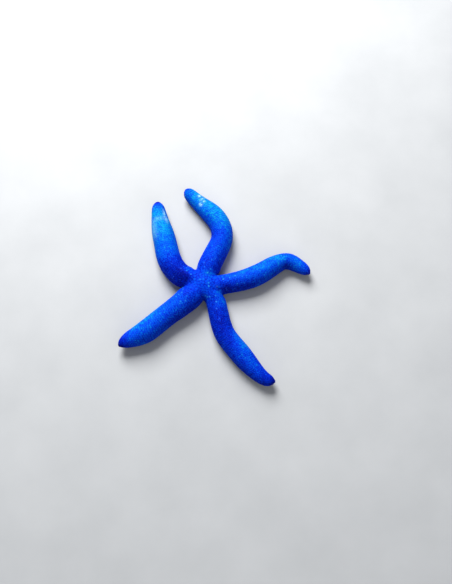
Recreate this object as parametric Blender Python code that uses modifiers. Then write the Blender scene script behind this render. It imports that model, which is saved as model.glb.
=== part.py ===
"""Blue sea star, Linckia laevigata: a still model of the whole animal at life size.

It lies on its underside with its five arms bent as in a slow crawl. The body is one smooth
form, a coarse cage with a Subdivision Surface: each arm is a loft of rings along its own bent
centreline, and the arms meet in the disc, with one notch between each two of them. Thin cuts
then part it into the disc and three lengths of each arm. The madreporite, the eye spots and
the membrane round the mouth are small solids of their own.

Units are metres and degrees, +Z is up and the underside lies on Z = 0. The shapes are worked
out from the disc's centre, and everything is then moved so that the origin is the middle of
the animal's outline on the ground.
"""
import math
from dataclasses import dataclass

import bmesh
import bpy
from mathutils import Matrix, Vector
from mathutils.bvhtree import BVHTree

MODEL_NAME = "blue_sea_star"
SUBDIVISION_LEVELS = 1

# Clearance of a cut, and round a small part that sits in a socket.
GAP = 0.0003

# Height of the disc's middle, and of an arm as a share of its width.
DISC_HEIGHT = 0.0232
ARM_HEIGHT_SHARE = 0.87

# Half of an arm's section, from its top round to the edge of its groove. Each point is a share
# of the half-width out and a share of the height up, and the last three lie on the ground.
SECTION = (
    (0.00, 1.03),
    (0.55, 0.95),
    (0.99, 0.67),
    (1.04, 0.27),
    (0.76, 0.00),
    (0.46, 0.00),
    (0.19, 0.00),
)
SECTION_MIDDLE = 0.46

# Where along an arm its half-widths are given, and how its tip rounds off and lifts.
HALF_SHARES = (0.18, 0.45, 0.70, 0.90)
TIP_LIFT = 0.0030
TIP_LIFT_START = 0.82

# Places of an arm's rings: two that follow the slant between its notches, an even run, and
# the ones that round the cap, as shares of the cap's length.
NOTCH_STEPS = ((0.0045, 1.0), (0.0115, 0.5))
EVEN_RINGS = 6
CAP_RINGS = (0.00, 0.50, 0.90)
HOLD_ROUNDS = 4

# Cage points down a notch: how far inside the notch's radius, and the share of the height.
NOTCH_SECTION = ((0.0056, 0.74), (0.0012, 0.50), (0.0003, 0.22), (0.0030, 0.00))

# The groove under each arm, and the hollow of the mouth with the jaws between the grooves.
GROOVE_DEPTH = 0.0045
GROOVE_TIP_DEPTH = 0.0007
GROOVE_CLOSING = (0.78, 0.90)
MOUTH_RADIUS = 0.0062
MOUTH_DEPTH = 0.0058
GROOVE_MOUTH_HALF = 0.0016
JAW_TIP_RADIUS = 0.0040
JAW_LIFT = 0.0004
JAW_MIDDLE_SHARE = 0.56

# The cuts across each arm: one past the farther of its two notches, and two in its even run,
# counted in rings. All of them pass between two rows of faces.
ROOT_CUT_PAST_NOTCH = 0.0033
ARM_CUT_RINGS = (2.25, 4.75)
CUT_OVERHANG = 0.0010
LENGTH_NAMES = ("base", "middle", "tip")

# The madreporite, a low oval plate on the disc between arms c and d: its half-sizes and place.
PLATE_HALVES = (0.0016, 0.0012, 0.0009)
PLATE_RADIUS = 0.0125
PLATE_BEARING = 341
PLATE_SINK = 0.0003

# The eye spots, one in the front of each arm's tip, and the membrane round the mouth.
EYE_HALVES = (0.0007, 0.0008, 0.0006)
EYE_HEIGHT_SHARE = 0.40
EYE_SINK = 0.0001
MEMBRANE_RADIUS = 0.0027
MEMBRANE_THICKNESS_HALF = 0.0008
MEMBRANE_HEIGHT = 0.0045

# Linear colours.
DISC_BLUE = (0.0040, 0.0550, 0.6500)
ARM_BLUE = (0.0030, 0.0610, 0.7600)
TIP_BLUE = (0.0080, 0.0300, 0.5200)
PLATE_LILAC = (0.1400, 0.2500, 0.8000)
EYE_RED = (0.4500, 0.0250, 0.0080)
MEMBRANE_CREAM = (0.6200, 0.4700, 0.2900)


@dataclass(frozen=True)
class Arm:
    """One arm, in metres and degrees.

    It leaves the disc's centre at a heading, and turns by each of its turns in order over
    equal stretches of its length. Its last stretch, the cap, is rounded off. The notch is the
    one between it and the next arm.
    """

    name: str
    heading: float
    length: float
    cap: float
    halves: tuple
    turns: tuple
    notch_radius: float
    notch_bearing: float


# Anticlockwise from the arm on the +X side. The letters are the usual ones for sea stars.
ARMS = (
    Arm("c", 0, 0.122, 0.014, (0.0105, 0.0115, 0.0100, 0.0075),
        (10, 5, 15, 5, -67, -15), 0.016, 45),
    Arm("b", 90, 0.130, 0.009, (0.0125, 0.0120, 0.0115, 0.0075),
        (-18, -15, 43, 35, 5, -15), 0.020, 125),
    Arm("a", 150, 0.120, 0.011, (0.0125, 0.0130, 0.0120, 0.0080),
        (15, -40, -24, 5, -5, -5), 0.024, 185),
    Arm("e", 200, 0.112, 0.020, (0.0135, 0.0120, 0.0120, 0.0095),
        (30, -15, 5, 0, -20, 25), 0.016, 260),
    Arm("d", 315, 0.130, 0.012, (0.0105, 0.0110, 0.0110, 0.0075),
        (-30, -5, 30, 0, 0, 50), 0.020, 330),
)


# ---------------------------------------------------------------- the arms' lines and sections
def smooth_step(low, high, value):
    """0 below low, 1 above high and an even S between them."""
    share = min(max((value - low) / (high - low), 0.0), 1.0)
    return share * share * (3.0 - 2.0 * share)


def polar(radius, bearing, height=0.0):
    """The point at a radius and a bearing from the disc's centre."""
    angle = math.radians(bearing)
    return Vector((radius * math.cos(angle), radius * math.sin(angle), height))


def direction(heading):
    """Unit vector on the ground along a heading in radians."""
    return Vector((math.cos(heading), math.sin(heading), 0.0))


def arc_step(place, heading, bend, travel):
    """Place and heading at the far end of an arc of a given bend and length."""
    chord = travel if abs(bend) < 1e-9 else travel * math.sin(bend / 2) / (bend / 2)
    return place + direction(heading + bend / 2) * chord, heading + bend


def centreline(arm, distance):
    """Place and heading of an arm's centreline at a distance from the disc's centre."""
    stretch = arm.length / len(arm.turns)
    place = Vector((0.0, 0.0, 0.0))
    heading = math.radians(arm.heading)
    left = distance
    for turn in arm.turns:
        travel = min(left, stretch)
        place, heading = arc_step(place, heading, math.radians(turn) * travel / stretch, travel)
        left -= travel
    return place + direction(heading) * left, heading


def cap_start(arm):
    """Distance at which an arm's rounded cap begins."""
    return arm.length - arm.cap


def half_width(arm, distance):
    """Half-width of an arm at a distance along its centreline, without its cap's rounding."""
    share = distance / arm.length
    half = arm.halves[0]
    for index, (start, end) in enumerate(zip(HALF_SHARES, HALF_SHARES[1:])):
        half += (arm.halves[index + 1] - arm.halves[index]) * smooth_step(start, end, share)
    return half


def arm_height(arm, distance):
    """Height of an arm at a distance along its centreline, without its cap's rounding."""
    return 2.0 * ARM_HEIGHT_SHARE * half_width(arm, distance)


def cap_squeeze(arm, distance):
    """Share of the full section that is left at a distance along an arm, 1 before its cap."""
    into_cap = max(distance - cap_start(arm), 0.0) / (arm.length - cap_start(arm))
    return math.sqrt(max(1.0 - into_cap ** 2, 0.0))


def ring_points(arm, distance, slant=0.0):
    """The closed ring of cage points round an arm, from its top down the left side, across
    the groove and up the right side. Slant moves the left side on and the right side back."""
    share = distance / arm.length
    half = half_width(arm, distance)
    squeeze = cap_squeeze(arm, distance)
    height = arm_height(arm, distance)
    middle = SECTION_MIDDLE * height
    lift = TIP_LIFT * smooth_step(TIP_LIFT_START, 1.0, share)

    def cage_point(out_share, up_share, side):
        place, heading = centreline(arm, distance + slant * side * out_share)
        across = direction(heading + math.pi / 2)
        level = middle + (up_share * height - middle) * squeeze + lift
        return place + across * (side * out_share * half * squeeze) + Vector((0.0, 0.0, level))

    left = [cage_point(out_share, up_share, 1) for out_share, up_share in SECTION]
    right = [cage_point(out_share, up_share, -1) for out_share, up_share in SECTION[1:]]
    depth = GROOVE_DEPTH + (GROOVE_TIP_DEPTH - GROOVE_DEPTH) * smooth_step(*GROOVE_CLOSING, share)
    roof = (left[-1] + right[-1]) / 2 + Vector((0.0, 0.0, depth))
    return left + [roof] + right[::-1]


# ---------------------------------------------------------------- the notches
def notch_point(arm, inside=0.0, height=0.0):
    """A point on the notch after an arm, some way inside its radius."""
    return polar(arm.notch_radius - inside, arm.notch_bearing, height)


def station_beside(arm, place):
    """Distance along an arm's centreline at which a place lies straight to its side."""
    distance = place.length
    for _ in range(12):
        on_line, heading = centreline(arm, distance)
        distance += (place - on_line).dot(direction(heading))
    return distance


def notch_stations(index):
    """Distances along an arm of its left notch and its right one."""
    arm = ARMS[index]
    return station_beside(arm, notch_point(arm)), station_beside(arm, notch_point(ARMS[index - 1]))


def even_station(index, count):
    """Distance along an arm of a place in its even run of rings, counted in rings."""
    arm = ARMS[index]
    start = sum(notch_stations(index)) / 2 + NOTCH_STEPS[-1][0]
    return start + (cap_start(arm) - start) * count / EVEN_RINGS


def ring_stations(index):
    """Distance and slant of each of an arm's rings, the one at its notches first."""
    arm = ARMS[index]
    left, right = notch_stations(index)
    root = (left + right) / 2
    slant = (left - right) / 2
    stations = [(root, slant)]
    stations += [(root + step, slant * share) for step, share in NOTCH_STEPS]
    stations += [(even_station(index, count), 0.0) for count in range(1, EVEN_RINGS)]
    cap_length = arm.length - cap_start(arm)
    stations += [(cap_start(arm) + cap_length * share, 0.0) for share in CAP_RINGS]
    return stations


# ---------------------------------------------------------------- the cage
def hold_bends(rings):
    """Moves the rings between the first and the cap sideways, so that the smoothed surface
    passes where they stood and cuts no bend short."""
    held = [[point.copy() for point in ring] for ring in rings]
    for _ in range(HOLD_ROUNDS):
        before = [[point.copy() for point in ring] for ring in held]
        for index in range(1, len(rings) - len(CAP_RINGS)):
            for column, wanted in enumerate(rings[index]):
                smoothed = (before[index - 1][column] + 6.0 * before[index][column]
                            + before[index + 1][column]) / 8.0
                held[index][column].xy += wanted.xy - smoothed.xy
    return held


def join_rings(cage, first, second):
    """Quads between two closed rings with the same number of points."""
    for index in range(len(first)):
        before = index - 1
        cage.faces.new((first[before], first[index], second[index], second[before]))


def close_tip(cage, arm, ring):
    """A fan of faces from an arm's last ring to the middle of its end."""
    end, _ = centreline(arm, arm.length)
    end.z = TIP_LIFT + SECTION_MIDDLE * arm_height(arm, arm.length)
    tip = cage.verts.new(end)
    for index, vert in enumerate(ring):
        cage.faces.new((ring[index - 1], vert, tip))


def build_arm(cage, index, left_column, right_column):
    """The rings of one arm, from the one it shares with the notches. Returns that ring."""
    arm = ARMS[index]
    rings = [ring_points(arm, distance, slant) for distance, slant in ring_stations(index)]
    root = rings[0]
    roof = len(root) // 2
    root[0].z = (DISC_HEIGHT * SECTION[0][1] + root[0].z) / 2
    for place, vert in enumerate(left_column, start=1):
        root[place] = vert.co.copy()
        root[-place] = right_column[place - 1].co.copy()
    top = cage.verts.new(root[0])
    under = [cage.verts.new(point) for point in root[roof - 2:roof + 3]]
    first = [top] + left_column + under + right_column[::-1]
    ring = first
    for points in hold_bends(rings)[1:]:
        next_ring = [cage.verts.new(point) for point in points]
        join_rings(cage, ring, next_ring)
        ring = next_ring
    close_tip(cage, arm, ring)
    return first


def close_disc_top(cage, first_rings):
    """A kite from the disc's middle to the top of each arm."""
    centre = cage.verts.new((0.0, 0.0, DISC_HEIGHT * SECTION[0][1]))
    for ring in first_rings:
        cage.faces.new((centre, ring[-1], ring[0], ring[1]))


def groove_mouth(cage, arm):
    """The inner end of an arm's groove: the points of its right edge, roof and left edge."""
    inward, _ = centreline(arm, MOUTH_RADIUS)
    along = inward.normalized()
    side = Vector((-along.y, along.x, 0.0)) * GROOVE_MOUTH_HALF
    edge = along * MOUTH_RADIUS + Vector((0.0, 0.0, JAW_LIFT))
    roof = along * MOUTH_RADIUS + Vector((0.0, 0.0, GROOVE_DEPTH))
    return [cage.verts.new(point) for point in (edge - side, roof, edge + side)]


def close_disc_underside(cage, first_rings):
    """The inner ends of the grooves, the jaws between them and the hollow of the mouth."""
    groove_ends = [groove_mouth(cage, arm) for arm in ARMS]
    mouth = []
    for index, arm in enumerate(ARMS):
        after = (index + 1) % len(ARMS)
        right, middle, left = groove_ends[index]
        next_right = groove_ends[after][0]
        foot, outer, inner, roof, right_inner = first_rings[index][4:9]
        next_inner, next_outer = first_rings[after][8:10]
        jaw_tip = cage.verts.new(polar(JAW_TIP_RADIUS, arm.notch_bearing, JAW_LIFT))
        jaw = cage.verts.new(polar(arm.notch_radius * JAW_MIDDLE_SHARE, arm.notch_bearing))
        cage.faces.new((inner, roof, middle, left))
        cage.faces.new((roof, right_inner, right, middle))
        cage.faces.new((foot, outer, jaw, next_outer))
        cage.faces.new((outer, inner, left, jaw))
        cage.faces.new((jaw, next_right, next_inner, next_outer))
        cage.faces.new((jaw, left, jaw_tip, next_right))
        mouth += [right, middle, left, jaw_tip]
    ceiling_ring = []
    for vert in mouth:
        outward = vert.co.xy.normalized() * JAW_TIP_RADIUS * 1.25
        ceiling_ring.append(cage.verts.new((*outward, MOUTH_DEPTH)))
    join_rings(cage, mouth, ceiling_ring)
    ceiling = cage.verts.new((0.0, 0.0, MOUTH_DEPTH))
    for index in range(0, len(ceiling_ring), 2):
        cage.faces.new((ceiling, ceiling_ring[index - 2], ceiling_ring[index - 1],
                        ceiling_ring[index]))


def mesh_data(name, shape):
    """A new mesh from a bmesh, which is freed. Its faces point outward."""
    bmesh.ops.recalc_face_normals(shape, faces=shape.faces)
    data = bpy.data.meshes.new(name)
    shape.to_mesh(data)
    shape.free()
    return data


def build_cage():
    """The whole animal as one coarse closed cage."""
    cage = bmesh.new()
    columns = []
    for arm in ARMS:
        points = [notch_point(arm, inside, share * DISC_HEIGHT) for inside, share in NOTCH_SECTION]
        columns.append([cage.verts.new(point) for point in points])
    first_rings = [build_arm(cage, index, columns[index], columns[index - 1])
                   for index in range(len(ARMS))]
    close_disc_top(cage, first_rings)
    close_disc_underside(cage, first_rings)
    return mesh_data("cage", cage)


# ---------------------------------------------------------------- cutters and small parts
def oval(shape, place, normal, heading, halves):
    """Adds an oval body to a bmesh: its last half-size lies along the normal."""
    turn = normal.to_track_quat("Z", "Y").to_matrix().to_4x4() @ Matrix.Rotation(heading, 4, "Z")
    matrix = Matrix.Translation(place) @ turn @ Matrix.Diagonal((*halves, 1.0))
    bmesh.ops.create_uvsphere(shape, u_segments=10, v_segments=6, radius=1.0, matrix=matrix)


def widened(halves):
    """The half-sizes of a socket round an oval part."""
    return tuple(half + GAP for half in halves)


def plate_place(surface):
    """Place and outward normal of the madreporite, from the body's surface below it."""
    above = polar(PLATE_RADIUS, PLATE_BEARING, 2.0 * DISC_HEIGHT)
    point, normal, _, _ = surface.ray_cast(above, Vector((0.0, 0.0, -1.0)))
    return point - normal * PLATE_SINK, normal


def eye_place(surface, arm):
    """Place and outward normal of an arm's eye spot, sunk in the front of its tip."""
    beyond, heading = centreline(arm, arm.length * 1.1)
    beyond.z = TIP_LIFT + EYE_HEIGHT_SHARE * arm_height(arm, arm.length)
    point, normal, _, _ = surface.ray_cast(beyond, -direction(heading))
    return point - normal * EYE_SINK, normal


def cut_distances(index):
    """Distances along an arm of its three cuts, from its root out."""
    root = max(notch_stations(index)) + ROOT_CUT_PAST_NOTCH
    return [root] + [even_station(index, count) for count in ARM_CUT_RINGS]


def slab_across(shape, arm, distance):
    """Adds a thin upright slab right across an arm, a little wider and higher than it."""
    place, heading = centreline(arm, distance)
    width = 2.0 * (half_width(arm, distance) * SECTION[3][0] + CUT_OVERHANG)
    size = Matrix.Diagonal((GAP, width, 4.0 * DISC_HEIGHT, 1.0))
    matrix = Matrix.Translation(place) @ Matrix.Rotation(heading, 4, "Z") @ size
    bmesh.ops.create_cube(shape, size=1.0, matrix=matrix)


def build_cutter(surface):
    """All the slabs across the arms, and the sockets of the madreporite and the eye spots."""
    shape = bmesh.new()
    for index, arm in enumerate(ARMS):
        for distance in cut_distances(index):
            slab_across(shape, arm, distance)
        oval(shape, *eye_place(surface, arm), 0.0, widened(EYE_HALVES))
    oval(shape, *plate_place(surface), 0.0, widened(PLATE_HALVES))
    return mesh_data("cutter", shape)


def build_oval(name, place, normal, halves):
    """The mesh of one oval part."""
    shape = bmesh.new()
    oval(shape, place, normal, 0.0, halves)
    return mesh_data(name, shape)


# ---------------------------------------------------------------- objects
def make_material(name, colour, roughness):
    """A Principled material of one linear colour, with no metal in it."""
    material = bpy.data.materials.new(name)
    material.use_nodes = True
    shader = material.node_tree.nodes["Principled BSDF"]
    shader.inputs["Base Color"].default_value = (*colour, 1.0)
    shader.inputs["Roughness"].default_value = roughness
    shader.inputs["Metallic"].default_value = 0.0
    material.diffuse_color = (*colour, 1.0)
    return material


def new_collection(name):
    """A collection linked to the scene."""
    collection = bpy.data.collections.new(name)
    bpy.context.scene.collection.children.link(collection)
    return collection


def add_object(name, data, collection):
    """An object of a mesh in a collection."""
    item = bpy.data.objects.new(name, data)
    collection.objects.link(item)
    return item


def add_part(name, data, collection, material):
    """A finished part, shaded smooth but for its cut edges."""
    data.name = name
    data.materials.append(material)
    data.shade_smooth()
    data.set_sharp_from_angle(angle=math.radians(50))
    return add_object(name, data, collection)


def hide_guide(item):
    """Marks an object as a guide that is no part of the animal."""
    item.hide_render = True
    item.display_type = "WIRE"


def evaluated_mesh(item):
    """The mesh of an object with its modifiers applied."""
    depsgraph = bpy.context.evaluated_depsgraph_get()
    return bpy.data.meshes.new_from_object(item.evaluated_get(depsgraph))


def mesh_of_faces(faces):
    """A new mesh that holds copies of some faces."""
    shape = bmesh.new()
    copies = {}
    for face in faces:
        for vert in face.verts:
            if vert not in copies:
                copies[vert] = shape.verts.new(vert.co)
        shape.faces.new([copies[vert] for vert in face.verts])
    data = bpy.data.meshes.new("body")
    shape.to_mesh(data)
    shape.free()
    return data


def split_bodies(data):
    """The separate closed bodies of a mesh, each as a new mesh."""
    source = bmesh.new()
    source.from_mesh(data)
    bodies = []
    waiting = set(source.faces)
    for first in source.faces:
        if first not in waiting:
            continue
        waiting.remove(first)
        to_visit = [first]
        faces = []
        while to_visit:
            face = to_visit.pop()
            faces.append(face)
            for edge in face.edges:
                neighbours = [other for other in edge.link_faces if other in waiting]
                waiting.difference_update(neighbours)
                to_visit.extend(neighbours)
        bodies.append(mesh_of_faces(faces))
    source.free()
    return bodies


def body_places():
    """The name of each part of the body, and a place near the part's middle."""
    places = {"disc": Vector((0.0, 0.0, 0.0))}
    for index, arm in enumerate(ARMS):
        ends = cut_distances(index) + [arm.length]
        for name, start, end in zip(LENGTH_NAMES, ends, ends[1:]):
            places[f"arm_{arm.name}_{name}"], _ = centreline(arm, (start + end) / 2)
    return places


def nearest_name(data, places):
    """The name of the place that lies nearest below the middle of a mesh."""
    total = sum((vert.co for vert in data.vertices), Vector())
    middle = (total / len(data.vertices)).to_2d()
    return min(places, key=lambda name: (places[name].to_2d() - middle).length)


def add_body(collection, guides):
    """Models the body whole and parts it. Returns its surface before the cuts."""
    cage = add_object("cage", build_cage(), guides)
    hide_guide(cage)
    subdivision = cage.modifiers.new("Subdivision", "SUBSURF")
    subdivision.levels = SUBDIVISION_LEVELS
    subdivision.render_levels = SUBDIVISION_LEVELS
    subdivision.use_limit_surface = False
    whole = add_object("whole", evaluated_mesh(cage), guides)
    hide_guide(whole)
    surface = BVHTree.FromPolygons([vert.co for vert in whole.data.vertices],
                                   [face.vertices for face in whole.data.polygons])
    cutter = add_object("cutter", build_cutter(surface), guides)
    hide_guide(cutter)
    cut = whole.modifiers.new("Cuts", "BOOLEAN")
    cut.operation = "DIFFERENCE"
    cut.solver = "EXACT"
    cut.object = cutter
    materials = {
        "disc": make_material("disc_skin", DISC_BLUE, 0.55),
        "base": make_material("arm_skin", ARM_BLUE, 0.55),
        "middle": make_material("arm_skin_middle", ARM_BLUE, 0.55),
        "tip": make_material("tip_skin", TIP_BLUE, 0.50),
    }
    places = body_places()
    for data in split_bodies(evaluated_mesh(whole)):
        name = nearest_name(data, places)
        add_part(name, data, collection, materials[name.split("_")[-1]])
    return surface


def add_small_parts(collection, surface):
    """The madreporite, the eye spots and the membrane round the mouth."""
    plate = build_oval("madreporite", *plate_place(surface), PLATE_HALVES)
    add_part("madreporite", plate, collection, make_material("madreporite", PLATE_LILAC, 0.6))
    eye_material = make_material("eye_spot", EYE_RED, 0.3)
    for arm in ARMS:
        eye = build_oval("eye", *eye_place(surface, arm), EYE_HALVES)
        add_part(f"eye_{arm.name}", eye, collection, eye_material)
    bpy.ops.mesh.primitive_torus_add(
        major_radius=MEMBRANE_RADIUS, minor_radius=MEMBRANE_THICKNESS_HALF,
        major_segments=20, minor_segments=6, location=(0.0, 0.0, MEMBRANE_HEIGHT))
    ring = bpy.context.object
    data = ring.data
    data.transform(ring.matrix_world)
    bpy.data.objects.remove(ring)
    add_part("mouth", data, collection, make_material("mouth_membrane", MEMBRANE_CREAM, 0.5))


def centre_outline(collection):
    """Moves every part so that the middle of the whole outline is the origin."""
    points = [vert.co for item in collection.objects for vert in item.data.vertices]
    middle = [(min(point[axis] for point in points) + max(point[axis] for point in points)) / 2
              for axis in range(2)]
    for item in collection.objects:
        item.data.transform(Matrix.Translation((-middle[0], -middle[1], 0.0)))


def main():
    """Builds the whole model."""
    for item in list(bpy.data.objects):
        bpy.data.objects.remove(item)
    collection = new_collection(MODEL_NAME)
    guides = new_collection("guides")
    surface = add_body(collection, guides)
    add_small_parts(collection, surface)
    centre_outline(collection)


main()
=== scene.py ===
"""Blue sea star, Linckia laevigata: the looks of a still model of the whole animal.

One skin covers the disc and the five arms. It is a smooth body, built from the same rings as
the solids below it, raised into rows of low limy plates and sunk between them where the
breathing pores are. A coat of limy granules covers it, with soft papulae in the pores. Below,
each arm has its groove with tube feet and spines. The madreporite, the membrane of the mouth
and the eye spots are pieces of their own.

Units are metres and degrees, +Z is up and the animal lies on Z = 0.
"""
import logging
import math
from dataclasses import dataclass, field
from enum import Enum
from functools import cached_property
from typing import Any

import bmesh
import bpy
import numpy as np
from bmesh.types import BMesh
from bpy.types import ID, Material, Mesh, Node, NodeSocket, NodeTree, Object
from mathutils import Matrix, Vector
from mathutils.bvhtree import BVHTree
from mathutils.kdtree import KDTree


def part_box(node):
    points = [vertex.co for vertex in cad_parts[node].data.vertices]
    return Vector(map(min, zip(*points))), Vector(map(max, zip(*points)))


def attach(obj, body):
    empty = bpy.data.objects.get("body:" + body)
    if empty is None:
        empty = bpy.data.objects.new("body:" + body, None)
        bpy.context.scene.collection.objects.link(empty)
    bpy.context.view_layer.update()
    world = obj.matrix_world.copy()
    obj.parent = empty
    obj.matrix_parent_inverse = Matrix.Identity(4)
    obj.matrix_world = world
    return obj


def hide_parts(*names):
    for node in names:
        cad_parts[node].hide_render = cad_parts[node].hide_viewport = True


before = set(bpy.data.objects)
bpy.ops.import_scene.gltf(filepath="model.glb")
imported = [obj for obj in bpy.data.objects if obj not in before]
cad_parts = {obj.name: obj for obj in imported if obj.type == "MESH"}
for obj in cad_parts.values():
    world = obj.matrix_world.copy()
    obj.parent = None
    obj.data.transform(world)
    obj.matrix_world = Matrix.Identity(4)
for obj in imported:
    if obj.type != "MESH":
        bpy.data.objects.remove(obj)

log = logging.getLogger("sea_star")

BODY = "root"
UP = Vector((0.0, 0.0, 1.0))

# What the finish of the skin reads at each point, and what that of its granules adds.
SKIN_FACTS = ("azure", "deep", "pale", "crown", "fleck", "pore", "under", "crease")
COAT_FACTS = ("speck", "lift")

Colour = tuple[float, float, float]
Span = tuple[float, float]  # A pair of numbers, such as where something starts and ends.


# ---------------- small helpers
def smooth_step(low: float, high: float, value: Any) -> Any:
    """An even S from 0 at low to 1 at high, for a number or an array."""
    share = np.clip((value - low) / (high - low), 0.0, 1.0)
    return share * share * (3.0 - 2.0 * share)


def mound(distance: np.ndarray, radius: float) -> np.ndarray:
    """A round mound, 1 at no distance and 0 from the radius on."""
    return np.clip(1.0 - (distance / radius) ** 2, 0.0, 1.0)


def bell(distance: np.ndarray, width: float) -> np.ndarray:
    """A bell curve, 1 at no distance and about a third at its width."""
    return np.exp(-(distance / width) ** 2)


def polar(radius: float, bearing: float, height: float = 0.0) -> Vector:
    """The point at a radius and a bearing in degrees from the disc's centre."""
    angle = math.radians(bearing)
    return Vector((radius * math.cos(angle), radius * math.sin(angle), height))


def direction(heading: float) -> Vector:
    """Unit vector on the ground along a heading in radians."""
    return Vector((math.cos(heading), math.sin(heading), 0.0))


def add_object(name: str, data: ID) -> Object:
    """A new object of some data, linked to the scene."""
    item = bpy.data.objects.new(name, data)
    bpy.context.scene.collection.objects.link(item)
    return item


def drop_object(item: Object) -> None:
    """Removes an object that was only a step on the way."""
    bpy.data.objects.remove(item, do_unlink=True)


def evaluated_copy(item: Object, name: str) -> Mesh:
    """A plain mesh of an object with its modifiers applied and its attributes kept.

    Args:
        item: The object to read.
        name: The new mesh's name.

    Returns:
        The mesh.
    """
    graph = bpy.context.evaluated_depsgraph_get()
    data = bpy.data.meshes.new_from_object(item.evaluated_get(graph),
                                           preserve_all_data_layers=True, depsgraph=graph)
    data.name = name
    return data


def read_numbers(items: Any, key: str, width: int = 1, kind: type = float) -> np.ndarray:
    """Reads a number, or a row of them, from each item of a mesh's collection.

    Args:
        items: The collection.
        key: The name of what to read.
        width: How many numbers each item has.
        kind: Either float or int.

    Returns:
        The numbers, in one row for each item where there is more than one.
    """
    values = np.empty(len(items) * width, kind)
    items.foreach_get(key, values)
    return values if width == 1 else values.reshape(-1, width)


def corner_facts(data: Mesh) -> tuple[np.ndarray, np.ndarray]:
    """The region of each corner of a mesh's faces, and its place on that region's map."""
    totals = read_numbers(data.polygons, "loop_total", kind=int)
    region = read_numbers(data.attributes["region"].data, "value", kind=int)
    return np.repeat(region, totals), read_numbers(data.uv_layers["place"].data, "uv", 2)


def points_tree(points: Any) -> KDTree:
    """A tree that finds the nearest of some points, numbered in their order."""
    tree = KDTree(len(points))
    for number, point in enumerate(points):
        tree.insert(point, number)
    tree.balance()
    return tree


def faces_tree(data: Mesh) -> BVHTree:
    """A tree that finds points on a mesh's faces."""
    return BVHTree.FromPolygons([vert.co for vert in data.vertices],
                                [face.vertices for face in data.polygons])


def store_floats(data: Mesh, name: str, values: np.ndarray) -> None:
    """Stores one number for each point of a mesh as an attribute."""
    layer = data.attributes.new(name, "FLOAT", "POINT")
    layer.data.foreach_set("value", np.asarray(values, dtype=np.float32))


def join_rings(shape: BMesh, rings: list[list[Any]]) -> None:
    """Adds the faces between rings of points, each joined to the one after it.

    Args:
        shape: The shape that they belong to.
        rings: The rings, of one count but for single points, which close an end.
    """
    for low, high in zip(rings, rings[1:]):
        count = max(len(low), len(high))
        for side in range(count):
            after = (side + 1) % count
            corners = (low[side % len(low)], low[after % len(low)],
                       high[after % len(high)], high[side % len(high)])
            shape.faces.new(list(dict.fromkeys(corners)))


def outward_mesh(shape: BMesh, name: str) -> Mesh:
    """Turns a shape into a mesh whose faces point out, and frees the shape.

    Args:
        shape: The shape.
        name: The mesh's name.

    Returns:
        The mesh.
    """
    bmesh.ops.recalc_face_normals(shape, faces=shape.faces)
    data = bpy.data.meshes.new(name)
    shape.to_mesh(data)
    shape.free()
    return data


def furrowed_piece(shape: BMesh, name: str, furrows: list[float], material: Material) -> Object:
    """A smooth closed piece that keeps how deep in a furrow each of its points lies.

    Args:
        shape: Its shape.
        name: Its name.
        furrows: One number from 0 to 1 for each point.
        material: Its finish.

    Returns:
        The piece.
    """
    data = outward_mesh(shape, name)
    data.shade_smooth()
    store_floats(data, "furrow", np.array(furrows))
    data.materials.append(material)
    return add_object(name, data)


def finish_piece(item: Object, slot: str, *replaced: str) -> None:
    """Hands a finished piece to the frame.

    Args:
        item: The piece, in its place.
        slot: Not used.
        replaced: The names of the nodes that it stands for.
    """
    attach(item, BODY)
    if replaced:
        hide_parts(*replaced)
    log.info("piece %s: %d triangles", item.name,
             len(item.data.loops) - 2 * len(item.data.polygons))


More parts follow.
